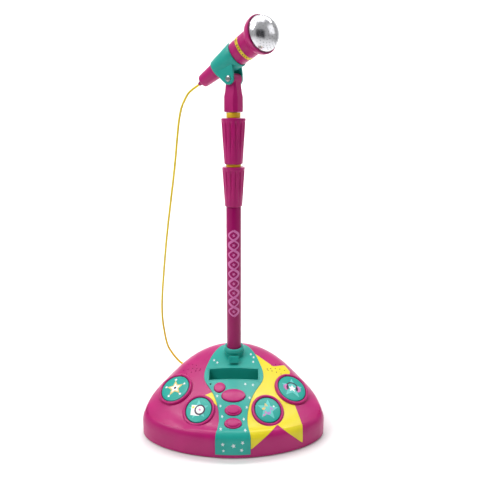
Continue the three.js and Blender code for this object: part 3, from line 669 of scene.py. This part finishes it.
def build_shell():
    outer = base_rings(0, RIM_Z)
    inner = base_rings(-WALL, RIM_Z)
    shell = loft("shell", outer + inner[::-1])
    for x, y, r in PADS.values():
        hole = r + PAD_GAP
        join(shell, pad_ring(x, y, r))
        cut(shell, rod(hole, hole, -40, 30, skin_frame(x, y), 72))
    recess = keep_inside(base_form(6, RIM_Z - 1), panel_prism(GAP))
    keep_inside(recess, block("lip", (-100, -300, PANEL_LOW_Z - GAP), (100, 300, 300)))
    cut(recess, base_form(-PANEL_DEPTH - GAP, RIM_Z - 3))
    cut(shell, recess, tray_block(GAP), pole_rod(SOCKET_R + GAP, 30, 130))
    cut(shell, *button_rods(0.5))
    cut(shell, speaker_rods())
    turned = Matrix.Translation(GLAND) @ Matrix.Rotation(pi / 2, 4, "X")
    cut(shell, rod(CORD_HOLE_R, CORD_HOLE_R, -20, 20, turned, 32))
    place(shell, "shell", "base", "magenta_plastic", ["base_shell"])


def build_panel():
    panel = keep_inside(base_form(PANEL_PROUD, RIM_Z - 1), panel_prism(0))
    keep_inside(panel, block("lip", (-100, -300, PANEL_LOW_Z), (100, 300, 300)))
    cut(panel, base_form(-PANEL_DEPTH, RIM_Z - 3), tray_block(GAP), pole_rod(SOCKET_R + GAP, 30, 130))
    cut(panel, *button_rods(0.5))
    place(panel, "panel", "base", "teal_plastic", ["control_panel"])


def build_tray():
    tray = keep_inside(tray_block(0), base_form(PANEL_PROUD, RIM_Z))
    cut(tray, tray_block(-TRAY["wall"], TRAY["floor"]))
    place(tray, "tray", "base", "teal_plastic", ["phone_tray"])
    profile = [(0, -4), (1.5, -4), (1.5, 1), (1.2, 1.5), (0.7, 1.8), (0, 1.9)]
    light = lathe("light", profile, skin_frame(*LIGHT), 32)
    place(light, "indicator_light", "base", "black_plastic", ["status_light"])


def build_buttons():
    for name, (x, y, rx, ry, proud) in BUTTONS.items():
        profile = [(0, -9.5), (1, -9.5), (1, proud - 1.6), (0.985, proud - 1), (0.95, proud - 0.5)]
        profile += [(0.9, proud - 0.2), (0.8, proud), (0.4, proud + 0.25), (0, proud + 0.3)]
        if "oval" in name:
            profile = profile[:5]
            profile += [(0.9, proud - 0.3), (0.78, proud - 0.2), (0.74, proud), (0.72, proud + 0.8)]
            profile += [(0.67, proud + 1.2), (0.55, proud + 1.4), (0, proud + 1.5)]
        matrix = skin_frame(x, y) @ Matrix.Diagonal((rx, ry, 1, 1))
        place(lathe(name, profile, matrix, 64), name + "_cap", name, "magenta_plastic", [name])


# ---- pads and their pictures ----

def crown(r, share):
    """Height of a pad's top at a share of its radius."""
    return 2.9 - 0.6 * share * share if share < (r - 1.6) / r else 1.6


def build_pads():
    pictures = {
        "pad_upper_left": picture_star_face,
        "pad_upper_right": picture_headphones,
        "pad_lower_left": picture_disc,
        "pad_lower_right": picture_notes,
    }
    for name, (x, y, r) in PADS.items():
        matrix = skin_frame(x, y)
        profile = [(0, -11.6), (r + 0.2, -11.6), (r + 1.2, -10.4), (r + 1.2, -9), (r, -9), (r, 1)]
        profile += [(r - 0.2, 1.6), (r - 0.7, 2.05), (r - 1.6, 2.3)]
        profile += [(share * r, crown(r, share)) for share in (0.8, 0.6, 0.4, 0.2, 0)]
        place(lathe(name, profile, matrix, 72), name + "_cap", name, "teal_plastic", [name])
        for i, (ink, layer, outlines) in enumerate(pictures[name](r)):
            lift = 0.1 + 0.1 * layer
            top = [(share * r, crown(r, share) + lift) for share in (0.9, 0.8, 0.6, 0.4, 0.2, 0)]
            layer_film = lathe("film", [(0, 1), (0.9 * r, 1)] + top, matrix, 72)
            shapes = [prism("shape", outline, 0, 6, matrix) for outline in outlines]
            tool = shapes[0]
            join(tool, *shapes[1:])
            keep_inside(layer_film, tool)
            place(layer_film, f"{name}_print_{i + 1}", name, "teal_plastic", material=MATERIALS[ink])


def shifted(outline, x, y, size=1.0, turn=0.0):
    """An outline turned and scaled about its origin, and then moved."""
    moved = []
    for p in outline:
        along = p.x * cos(turn) - p.y * sin(turn)
        across = p.x * sin(turn) + p.y * cos(turn)
        moved.append(Vector((x + size * along, y + size * across)))
    return moved


def picture_star_face(r):
    """A big star with a ring of small ones."""
    big = rounded(star_outline(0.62 * r), 1)
    inner = rounded(star_outline(0.4 * r), 0.8)
    small = []
    for a in steps(0.3, 2 * pi + 0.3, 5)[:-1]:
        small.append(shifted(star_outline(0.12 * r), 0.7 * r * cos(a), 0.7 * r * sin(a)))
    return [
        ("tan_ink", 0, [big]),
        ("white_ink", 1, [inner]),
        ("dark_ink", 2, [ellipse(0.09 * r, 0.09 * r)]),
        ("white_ink", 0, small),
    ]


def arch(radius, width, first, last, count=24):
    """A bow of a given width between two angles."""
    angles = steps(first, last, count)
    outer, inner = radius + width / 2, radius - width / 2
    bow = [Vector((outer * cos(a), outer * sin(a))) for a in angles]
    return bow + [Vector((inner * cos(a), inner * sin(a))) for a in reversed(angles)]


def picture_headphones(r):
    band = arch(0.42 * r, 0.1 * r, radians(10), radians(170))
    cups = [ellipse(0.14 * r, 0.24 * r, 32, sign * 0.44 * r, -0.02 * r) for sign in (-1, 1)]
    pads = [ellipse(0.09 * r, 0.19 * r, 32, sign * 0.34 * r, -0.02 * r) for sign in (-1, 1)]
    star = shifted(star_outline(0.3 * r), 0, -0.05 * r)
    waves = [arch(0.62 * r, 0.05 * r, radians(a - 16), radians(a + 16), 8) for a in (0, 180)]
    return [
        ("pale_teal_ink", 0, [rounded(star_outline(0.8 * r), 1)]),
        ("dark_ink", 1, [band]),
        ("pink_ink", 2, cups),
        ("dark_ink", 3, pads),
        ("white_ink", 1, [star]),
        ("lilac_ink", 1, waves),
    ]


def picture_disc(r):
    """A record that looks out of its sleeve, on a star."""
    x, y = 0.1 * r, -0.04 * r
    corners = ((-0.62, -0.38), (0.06, -0.52), (0.14, 0.3), (-0.54, 0.44))
    return [
        ("pale_teal_ink", 0, [rounded(star_outline(0.8 * r), 1)]),
        ("white_ink", 1, [rounded([Vector(p) * r for p in corners], 1.2)]),
        ("dark_ink", 2, [shifted(ellipse(0.42 * r, 0.42 * r), x, y)]),
        ("white_ink", 3, [shifted(ellipse(0.3 * r, 0.3 * r), x, y)]),
        ("pink_ink", 4, [shifted(star_outline(0.14 * r), x, y)]),
        ("yellow_ink", 2, [shifted(star_outline(0.14 * r), -0.42 * r, 0.22 * r)]),
    ]


def note_outlines(x, y, size):
    """A musical note: its head, its stem and its flag."""
    stem = ((0.14, 0), (0.22, 0), (0.22, 0.75), (0.14, 0.75))
    flag = ((0.22, 0.75), (0.5, 0.5), (0.46, 0.3), (0.22, 0.5))
    head = shifted(ellipse(0.2, 0.15), x, y, size, 0.4)
    return [head] + [shifted([Vector(p) for p in part], x, y, size) for part in (stem, flag)]


def picture_notes(r):
    return [
        ("pale_teal_ink", 0, [rounded(star_outline(0.84 * r), 1)]),
        ("tan_ink", 1, note_outlines(-0.34 * r, 0.02 * r, 0.62 * r)),
        ("lilac_ink", 1, note_outlines(0.06 * r, -0.3 * r, 0.75 * r)),
        ("pink_ink", 1, note_outlines(-0.3 * r, -0.48 * r, 0.45 * r)),
        ("white_ink", 1, [shifted(star_outline(0.1 * r), 0.46 * r, 0.3 * r)]),
    ]


# ---- prints on the base ----

# The prints go on along one direction, tilted down from the level, so that they run on over the
# crease and down the front. Their outlines are x and the height across that direction.
PRINT_TILT = radians(30)
PRINT_FRAME = Matrix((
    (1, 0, 0, 0),
    (0, sin(PRINT_TILT), -cos(PRINT_TILT), 0),
    (0, cos(PRINT_TILT), sin(PRINT_TILT), 0),
    (0, 0, 0, 1),
))
STAR_PRINT = [
    (40, 93), (71, 72), (92, 74), (102, 63), (97, 55), (88, 34), (102, 14), (110, -12),
    (110.5, -40), (70, -12), (28, -46), (5, -6), (-29, 15), (-51, 27), (-40, 31), (5, 47),
]
PRINT_LIFT = 0.14


def film(outlines, lift):
    """A printed film on the skin, inside the outlines. Each outline is pushed through the base."""
    parts = [prism("shape", outline, -60, 260, PRINT_FRAME) for outline in outlines]
    made = base_form(lift, RIM_Z + 1.4)
    tool = parts[0]
    join(tool, *parts[1:])
    keep_inside(made, tool)
    return cut(made, base_form(lift - 0.5, RIM_Z))


def print_point(x, y, lift=0.0):
    """Where a point of the top comes in the print's own plane."""
    return Vector((x, y * sin(PRINT_TILT) + (top_height(x, y) + lift) * cos(PRINT_TILT)))


def build_star():
    star = film([rounded(STAR_PRINT, 2.5)], PRINT_LIFT)
    back = block("back", (-200, 60, -10), (200, 300, 300))
    cut(star, back, panel_prism(GAP))
    for x, y, r in PADS.values():
        outer = r + PAD_GAP + RING_WIDTH + 0.6
        cut(star, rod(outer, outer, -40, 30, skin_frame(x, y), 72))
    cut(star, speaker_rods())
    place(star, "star_print", "base", "yellow_plastic")


def strip_stars():
    """Small stars scattered on the panel: on its front strip and between the buttons."""
    low = [(-15.5, -38), (1, -40, 1.2), (15, -35.5), (13.5, -46.5), (-14.5, -47.5, 0.8)]
    made = []
    for i, (x, v, *size) in enumerate(low):
        made.append(shifted(star_outline(3.1 * (size[0] if size else 1), turn=0.3 * i), x, v))
    on_top = [(-27, -53), (-21, -70), (-17.5, -86), (-19, -106), (17, -90), (19, -108), (22, -72),
              (27, -56), (20, -31), (33, -32), (-36, 20), (35, 16), (-30, 14), (36, 27), (31, 34)]
    for i, (x, y) in enumerate(on_top):
        centre = print_point(x, y, PANEL_PROUD)
        made.append(shifted(star_outline(2.5, turn=0.4 * i), centre.x, centre.y))
    return made


def build_strip_stars():
    stars = film(strip_stars(), PANEL_PROUD + PRINT_LIFT)
    cut(stars, block("back", (-200, 60, -10), (200, 300, 300)))
    keep_inside(stars, panel_prism(-0.5))
    place(stars, "star_prints", "base", "silver_grille", material=MATERIALS["silver_ink"])


# ---- socket, tubes and collars ----

def build_socket():
    """The socket and its latch. The latch and the notch for it are smaller than the CAD model's."""
    profile = [(SOCKET_BORE, SOCKET_Z0), (SOCKET_R, SOCKET_Z0), (SOCKET_R, TOP_Z), (17, 93.4)]
    profile += [(18.3, 94.6), (18.8, 97), (18.8, 100.5), (18.4, 102.6), (17.4, 104), (16, 104.6)]
    profile += [(14.4, 104.3), (SOCKET_BORE, 103), (SOCKET_BORE, SOCKET_Z0)]
    socket = lathe("socket", profile, POLE, 72)
    cut(socket, block("notch", (-11, POLE_Y - 31.4, 60), (11, POLE_Y - 15.4, 93)))
    place(socket, "socket", "base", "teal_plastic", ["stand_socket"])
    half, height, thick = LATCH["half"], LATCH["height"], LATCH["thick"]
    outline = rounded([(-half, height), (-half + 0.8, 0), (half - 0.8, 0), (half, height)], 4, 8)
    foot = Matrix.Translation((0, POLE_Y - LATCH["ahead"], LATCH["z"]))
    lean = foot @ Matrix.Rotation(radians(90 - LATCH["lean"]), 4, "X")
    latch = prism("latch", outline, -thick / 2, thick / 2, lean, 1.2)
    place(latch, "latch", "socket_latch", "teal_plastic", ["socket_latch"])


def build_tube(name, body, r, bore, z0, z1):
    profile = [(bore, z0), (r, z0), (r, z1 - 0.8), (r - 0.3, z1 - 0.2), (r - 0.9, z1)]
    profile += [(bore, z1), (bore, z0)]
    place(lathe(name, profile, POLE, 72), name + "_skin", body, "dark_magenta_plastic", [name])


def build_collar(name, z0, z1, r0, r1, bore):
    """A cone with round grooves that start under its top edge and fade towards its foot."""
    sides = FLUTES * 12
    angles = [2 * pi * i / sides for i in range(sides)]
    height = z1 - z0
    shares = [0, 0.008, 0.02, 0.05, 0.1] + steps(0.15, 0.8, 10)
    shares += [0.85, 0.88, 0.9, 0.92, 0.95, 0.975, 0.99, 1]
    rings = []
    for share in shares:
        edge = 1.2 * (1 - sqrt(1 - max(0, 1 - min(share, 1 - share) / 0.02) ** 2))
        fade = min(1, max(0, (share - 0.03) / 0.55))
        stop = min(1, max(0, (0.925 - share) / 0.05)) ** 0.5
        depth = FLUTE_DEPTH * fade * stop
        ring = []
        for angle in angles:
            r = r0 + (r1 - r0) * share - edge - depth * max(0, cos(angle * FLUTES)) ** 1.4
            ring.append((r * cos(angle), r * sin(angle), z0 + share * height))
        rings.append(ring)
    for z, r in ((z1, bore + 0.4), (z1 - 0.4, bore), (z0 + 0.4, bore), (z0, bore + 0.4)):
        rings.append([(r * cos(angle), r * sin(angle), z) for angle in angles])
    collar = loft("collar", rings, POLE, joined=True)
    place(collar, name + "_grip", name, "magenta_plastic", [name], angle=40)


def build_ring(name, body, r, bore, z0, z1):
    profile = [(bore, z0), (r - 0.5, z0), (r, z0 + 0.5), (r + 0.1, (z0 + z1) / 2)]
    profile += [(r, z1 - 0.5), (r - 0.5, z1), (bore, z1), (bore, z0)]
    place(lathe(name, profile, POLE, 72), name + "_band", body, "gold_trim", [name])


def build_neck():
    low, shoulder = 526 - HINGE_Z, 556 - HINGE_Z
    hinge = POLE @ Matrix.Translation((0, 0, HINGE_Z))
    turn = hinge @ Matrix.Rotation(MIC_HEADING - pi / 2, 4, "Z")

    def eight(half_x, half_y, corner, z):
        corners = [(half_x, -half_y + corner), (half_x, half_y - corner), (half_x - corner, half_y)]
        corners += [(-half_x + corner, half_y), (-half_x, half_y - corner)]
        corners += [(-half_x, -half_y + corner), (-half_x + corner, -half_y), (half_x - corner, -half_y)]
        return [(x, y, z) for x, y in corners]

    rings = [
        eight(12.6, 12.6, 5, low),
        eight(13.6, 13.6, 5.5, low + 2),
        eight(13.6, 13.6, 5.5, shoulder - 5),
        eight(11.7, 11, 3.5, shoulder + 4),
        eight(8.9, 11, 3, 0),
    ]
    body = loft("neck", rings, turn)
    level = turn @ Matrix.Rotation(pi / 2, 4, "X")
    join(body, rod(9.9, 9.9, -11, 11, level, 64))
    join(body, rod(6.7, 6.7, low - 18, low + 1, turn, 48))
    cut(body, rod(2.9, 2.9, -20, 20, level, 32))
    soften(body, 0.7, 25)
    place(body, "neck_joint", "neck", "magenta_plastic", ["neck"], angle=25)


def build_tube_print():
    """Two ribbons that wind along the front of the lower tube, with stars between them."""
    low, high = RIBBON_Z0, RIBBON_Z1
    ribbons = []
    for phase, width in ((0, 4.2), (pi, 2.8)):
        centre = []
        for t in steps(0, 1, 120):
            around = RIBBON_SWING * sin(2 * pi * RIBBON_WAVES * t + phase)
            centre.append(Vector((around, low + (high - low) * t)))
        ribbons.append((centre, width))
    films = []
    for k, (centre, width) in enumerate(ribbons):
        left, right = [], []
        for i, point in enumerate(centre):
            along = (centre[min(i + 1, len(centre) - 1)] - centre[max(i - 1, 0)]).normalized()
            across = Vector((-along.y, along.x)) * width / 2
            left.append(point + across)
            right.append(point - across)
        films.append(wrapped(left, right, RIBBON_R + 0.04 * k))
    for i in range(9):
        z = low + (high - low) * (i + 0.5) / 9
        outline = star_outline(3.6, turn=0.5 * i)
        films.append(wrapped_fan(outline, z, 13.16))
    place(merge("print", films), "tube_print", "base", "dark_magenta_plastic",
          material=MATERIALS["pink_ink"], angle=60)


def on_tube(point, radius):
    angle = point.x / LOWER_TUBE_R
    return Vector((radius * sin(angle), POLE_Y - radius * cos(angle), point.y))


def wrapped(left, right, radius):
    """A thin closed film round the tube between two edges."""
    inner = radius - 0.3
    rings = []
    for a, b in zip(left, right):
        rings.append([on_tube(a, radius), on_tube((a + b) / 2, radius), on_tube(b, radius),
                      on_tube(b, inner), on_tube(a, inner)])
    return loft("film", rings)


def wrapped_fan(outline, z, radius):
    inner = radius - 0.3
    moved = [Vector((p.x, p.y + z)) for p in outline]
    return loft("film", [[on_tube(p, inner) for p in moved], [on_tube(p, radius) for p in moved]])


# ---- clip and microphone ----

def ear_outline():
    outline = [Vector((EAR_R * cos(a), EAR_R * sin(a))) for a in steps(radians(205), radians(335), 20)]
    upper = ((12.5, 3), (16, 12), (19, 26), (-17, 26), (-15.5, 16), (-12, 4))
    return outline + [Vector(p) for p in upper]


def build_clip():
    x0, x1 = SLEEVE_X - SLEEVE_LENGTH / 2, SLEEVE_X + SLEEVE_LENGTH / 2
    slope = (FRONT_R - REAR_R) / SLEEVE_LENGTH
    sleeve_frame = BARREL @ ALONG_X
    outer = [(0, x0), (REAR_R - 0.9, x0), (REAR_R - 0.25, x0 + 0.3), (REAR_R, x0 + 1)]
    outer += [(FRONT_R, x1 - 1), (FRONT_R - 0.25, x1 - 0.3), (FRONT_R - 0.9, x1), (0, x1)]
    clip = lathe("clip", outer, sleeve_frame, 96)
    level = MIC @ Matrix.Rotation(pi / 2, 4, "X")
    for side in (-1, 1):
        middle = side * EAR_Y
        ear = prism("ear", ear_outline(), -middle - EAR_THICK / 2, -middle + EAR_THICK / 2, level, 0.7)
        join(clip, ear)
    bore = [(0, x0 - 10), (REAR_R - SLEEVE_WALL - 10 * slope, x0 - 10),
            (FRONT_R - SLEEVE_WALL + 10 * slope, x1 + 10), (0, x1 + 10)]
    mouth = sin(radians(24)) * FRONT_R
    cut(clip, lathe("bore", bore, sleeve_frame, 96))
    cut(clip, block("mouth", (-40, -mouth, SLEEVE_Z), (60, mouth, SLEEVE_Z + 40), MIC))
    cut(clip, rod(2.9, 2.9, -20, 20, level, 32))
    cut(clip, rod(5.2, 5.2, EAR_Y + EAR_THICK / 2 - 1.2, 25, level, 48))
    place(clip, "clip", "clip", "teal_plastic", ["clip_sleeve"])


def build_bolt():
    level = MIC @ Matrix.Rotation(pi / 2, 4, "X")
    shank = EAR_Y + EAR_THICK / 2
    profile = [(0, -shank - 3), (2.2, -shank - 3), (2.5, -shank - 2.7), (2.5, shank - 0.9)]
    profile += [(4.8, shank - 0.9), (4.8, shank + 0.3), (4.5, shank + 0.9), (3.6, shank + 1.35)]
    profile += [(2, shank + 1.6), (0, shank + 1.7)]
    bolt = lathe("bolt", profile, level, 48)
    for turn in (0, pi / 2):
        slot_frame = level @ Matrix.Rotation(turn, 4, "Z")
        cut(bolt, block("slot", (-2.6, -0.45, shank + 0.4), (2.6, 0.45, shank + 3), slot_frame))
    place(bolt, "bolt", "clip", "screw_steel", ["hinge_bolt"])


def build_handle():
    x0, x1 = SLEEVE_X - SLEEVE_LENGTH / 2, SLEEVE_X + SLEEVE_LENGTH / 2
    rear, front = REAR_R - SLEEVE_WALL - GAP, FRONT_R - SLEEVE_WALL - GAP
    tail = [(3.4, TAIL_X), (7.2, TAIL_X), (8.8, TAIL_X + 0.25), (10, TAIL_X + 1), (10.8, TAIL_X + 2.2),
            (11.2, TAIL_X + 4)]
    outer = tail + [(rear, x0), (front, x1), (20, x1 + 5), (20, BAND_X0 - 0.7), (19.6, BAND_X0 - GAP)]
    inner = [(18, BAND_X0 - GAP), (18, x1 + 4), (front - 2, x1), (rear - 2, x0)]
    inner += [(9, TAIL_X + 3), (3.4, TAIL_X + 2.5)]
    handle = lathe("handle", outer + inner + [outer[0]], BARREL @ ALONG_X, 96)
    place(handle, "handle", "microphone", "magenta_plastic", ["mic_handle"], angle=28)


def build_band():
    r = 20.6
    profile = [(18.2, BAND_X0), (r - 0.4, BAND_X0), (r, BAND_X0 + 0.4), (r, BAND_X1 - 0.4)]
    profile += [(r - 0.4, BAND_X1), (18.2, BAND_X1), (18.2, BAND_X0)]
    band = lathe("band", profile, BARREL @ ALONG_X, 96)
    place(band, "band", "microphone", "gold_trim", ["mic_band"], material=MATERIALS["bright_gold"])
    count, marks = 30, []
    outwards = Matrix.Translation(((BAND_X0 + BAND_X1) / 2, 0, r - 0.2))
    for i in range(count):
        spot = BARREL @ Matrix.Rotation(2 * pi * i / count, 4, "X") @ outwards
        shape = star_outline(1.5, 0.5, points=4) if i % 2 else ellipse(0.7, 0.7, 16)
        marks.append(prism("mark", shape, 0, 0.42, spot))
    place(merge("marks", marks), "band_marks", "microphone", "gold_trim",
          material=MATERIALS["dark_ink"])


def build_head():
    along = BARREL @ ALONG_X
    turned = HEAD @ ALONG_X
    bowl_side = spline([(14, -19, 0), (21.5, -15.5, 0), (27, -10.5, 0), (30, -4.5, 0), (31, 1, 0)], 6)
    rim = [(31, 1.8), (30.8, 2.5), (30.3, 2.95), (29.4, 3), (28.6, 2.7)]
    bowl = [(0, -19.6)] + [(p.x, p.y) for p in bowl_side] + rim
    bowl += [(28.4, 2), (28.4, -3), (25, -8.5), (19.5, -13.5), (13, -16.5), (0, -17)]
    neck_outer = [(0, BAND_X1 + GAP), (20.2, BAND_X1 + GAP), (20.6, BAND_X1 + 0.8), (21, BAND_X1 + 2.5),
                  (20.6, HEAD_X - 12), (0, HEAD_X - 8)]
    neck_bore = [(0, BAND_X1 - 5), (18, BAND_X1 - 5), (18, HEAD_X - 15), (0, HEAD_X - 12)]
    hollow = [(0, -17), (13, -16.5), (19.5, -13.5), (25, -8.5), (28.35, -3), (28.35, 8), (0, 8)]
    cup = join(lathe("cup", neck_outer, along, 96), lathe("bowl", bowl, turned, 96))
    cut(cup, lathe("bore", neck_bore, along, 72), lathe("hollow", hollow, turned, 96))
    place(cup, "head_cup", "microphone", "magenta_plastic", ["mic_head_cup"], angle=28)


def dome_point(polar, around, lift=0.0):
    """A point on the grille: polar angle from its tip, and angle round its axis."""
    r = DOME_R * sin(polar) + lift * sin(polar)
    z = DOME_FOOT + (DOME_HEIGHT + lift) * cos(polar)
    return Vector((r * cos(around), r * sin(around), z))


def build_grille():
    turned = HEAD @ ALONG_X
    top, under = DOME_FOOT + DOME_HEIGHT, 1.2 + DOME_HEIGHT
    outer = [(DOME_R * cos(a), DOME_FOOT + DOME_HEIGHT * sin(a)) for a in steps(0, pi / 2, 28)]
    inner = []
    for a in steps(pi / 2, 0, 14):
        inner.append((DOME_INNER_R * cos(a), DOME_FOOT + (DOME_HEIGHT - 1.8) * sin(a)))
    profile = [(DOME_R, DOME_LOW)] + outer[:-1] + [(0, top), (0, under)] + inner[1:]
    profile += [(DOME_INNER_R, DOME_LOW), (DOME_R, DOME_LOW)]
    grille = lathe("grille", profile, turned, 120)
    place(grille, "grille", "microphone", "silver_grille", ["mic_grille"], angle=50)
    # The grille's holes are not cut. Small black discs sit on the solid dome instead, and their black is
    # painted shade for the dark inside of each hole.
    golden = pi * (3 - sqrt(5))
    holes = []
    for i in range(DOME_HOLES):
        polar = DOME_HOLES_REACH * sqrt((i + 0.5) / DOME_HOLES)
        centre = dome_point(polar, i * golden)
        normal = (dome_point(polar, i * golden, 1) - centre).normalized()
        tilt = Vector((0, 0, 1)).rotation_difference(normal).to_matrix().to_4x4()
        spot = turned @ (Matrix.Translation(centre) @ tilt)
        size = 0.7 + 0.2 * sin(i * 2.4)
        holes.append(lathe("hole", [(0, -0.4), (size, -0.4), (size, 0.02), (0, 0.05)], spot, 10))
    place(merge("holes", holes), "grille_hole_shade_discs", "microphone", "black_plastic")


def build_boots():
    boot_profile = [(CORD_R + GAP, TAIL_X + 5), (3, TAIL_X + 5), (3, TAIL_X - GAP), (4.2, TAIL_X - GAP)]
    boot_profile += [(4.4, TAIL_X - 1.2), (4.1, TAIL_X - 3), (3.5, TAIL_X - 7), (3.1, TAIL_X - 8)]
    boot_profile += [(CORD_R + GAP, TAIL_X - 8), (CORD_R + GAP, TAIL_X + 5)]
    boot = lathe("boot", boot_profile, BARREL @ ALONG_X, 40)
    place(boot, "boot", "microphone", "dark_magenta_plastic", ["mic_cord_boot"])
    gland_profile = [(CORD_R + GAP, -7), (3.8, -7), (3.8, 0.9), (6.2, 0.9), (6.4, 1.4)]
    gland_profile += [(6.2, 2.4), (4.8, 3.2)]
    for z in steps(4.5, 12.5, 4):
        gland_profile += [(4.6 - 0.1 * (z - 4), z), (4.1 - 0.1 * (z - 4), z + 0.7)]
    gland_profile += [(3.2, 15), (CORD_R + GAP, 15), (CORD_R + GAP, -7)]
    out = Matrix.Translation(GLAND) @ Matrix.Rotation(-pi / 2, 4, "X")
    gland = lathe("gland", gland_profile, out, 40)
    place(gland, "gland", "base", "dark_magenta_plastic", ["cord_gland"])
    return boot, gland


# ---- cord ----

def coil_path():
    """The coil, wound clockwise from the drop's end to the lead's start: one turn in each place."""
    first, turns, change = radians(190), 5 + 140 / 360, 0.12
    places = [(28.3, 2.4), (24, 2.3), (20, 2.3), (20, 6.3), (24, 6.3), (24, 10.3), (28.4, 8.5)]
    path = []
    for turn in steps(0, turns, 5 * 26)[1:-1]:
        k = min(int(turn), len(places) - 2)
        t = min(1, (turn - k) / change)
        t = t * t * (3 - 2 * t)
        r = places[k][0] * (1 - t) + places[k + 1][0] * t
        z = places[k][1] * (1 - t) + places[k + 1][1] * t
        if turn > 5 + change:
            z -= 3.5 * (turn - 5 - change) / (turns - 5 - change)
        angle = first - 2 * pi * turn
        path.append(Vector((COIL_X + r * cos(angle), COIL_Y + r * sin(angle), z)))
    return path


def build_cord():
    boot, gland = build_boots()
    path = spline(DROP, 6) + coil_path() + spline(LEAD, 6)
    cord = tube("cord", path, CORD_R, 14)
    cord.data.materials.append(MATERIALS["cord_yellow"])
    smooth(cord, 60)
    tie_frame = Matrix.Translation((COIL_X, COIL_Y, 6.3)) @ Matrix.Rotation(radians(215), 4, "Z")
    tie_frame = tie_frame @ Matrix.Translation((22, 0, 0)) @ Matrix.Rotation(pi / 2, 4, "X")
    outer = rounded([(-4.9, -6.2), (5.1, -6.2), (5.1, 6.9), (-4.9, 6.9)], 2.5)
    inner = rounded([(-4.2, -6.1), (4.3, -6.1), (4.3, 6.1), (-4.2, 6.1)], 2)
    sides = ((outer, -2), (outer, 2), (inner, 2), (inner, -2))
    tie = loft("tie", [[(p.x, p.y, z) for p in side] for side, z in sides], tie_frame, joined=True)
    place(tie, "coil_tie", "base", "black_plastic")
    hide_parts("cord_drop", "cord_coil", "cord_lead")
    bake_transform(cord)


# ---- underside and inside ----

def build_underside():
    for name, (x, y) in FEET.items():
        profile = [(0, 0), (7.6, 0), (8.4, 0.3), (9, 1), (9, 2.2), (0, 2.2)]
        foot = lathe("foot", profile, Matrix.Translation((x, y, 0)), 48)
        place(foot, name + "_foot", "base", "foot_rubber", ["foot_" + name])


def finish_cad_nodes():
    """Materials for the CAD nodes that stay as they are, by the slot that each has in the record."""
    looks = {
        "bottom_cover": "dark_magenta_plastic", "battery_door": "dark_magenta_plastic",
        "case_screw": "screw_steel", "hinge_nut": "screw_steel", "battery_": "battery_metal",
        "speaker_": "black_plastic", "circuit_board": "board_green", "key_board": "board_green",
        "mic_capsule": "black_plastic",
    }
    for name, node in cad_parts.items():
        if node.hide_render:
            continue
        slot = next((look for start, look in looks.items() if name.startswith(start)), "switch_rubber")
        node.data.materials.clear()
        node.data.materials.append(MATERIALS[slot])


add_camera()
MATERIALS = make_materials()
build_cord()
add_studio()
build_shell()
build_panel()
build_tray()
build_buttons()
build_pads()
build_star()
build_strip_stars()
build_socket()
for tube_name, sizes in TUBES.items():
    build_tube(tube_name, **sizes)
for collar_name, sizes in COLLARS.items():
    build_collar(collar_name, **sizes)
for ring_name, sizes in COLLAR_RINGS.items():
    build_ring(ring_name, **sizes)
build_neck()
build_tube_print()
build_clip()
build_bolt()
build_handle()
build_band()
build_head()
build_grille()
build_underside()
finish_cad_nodes()
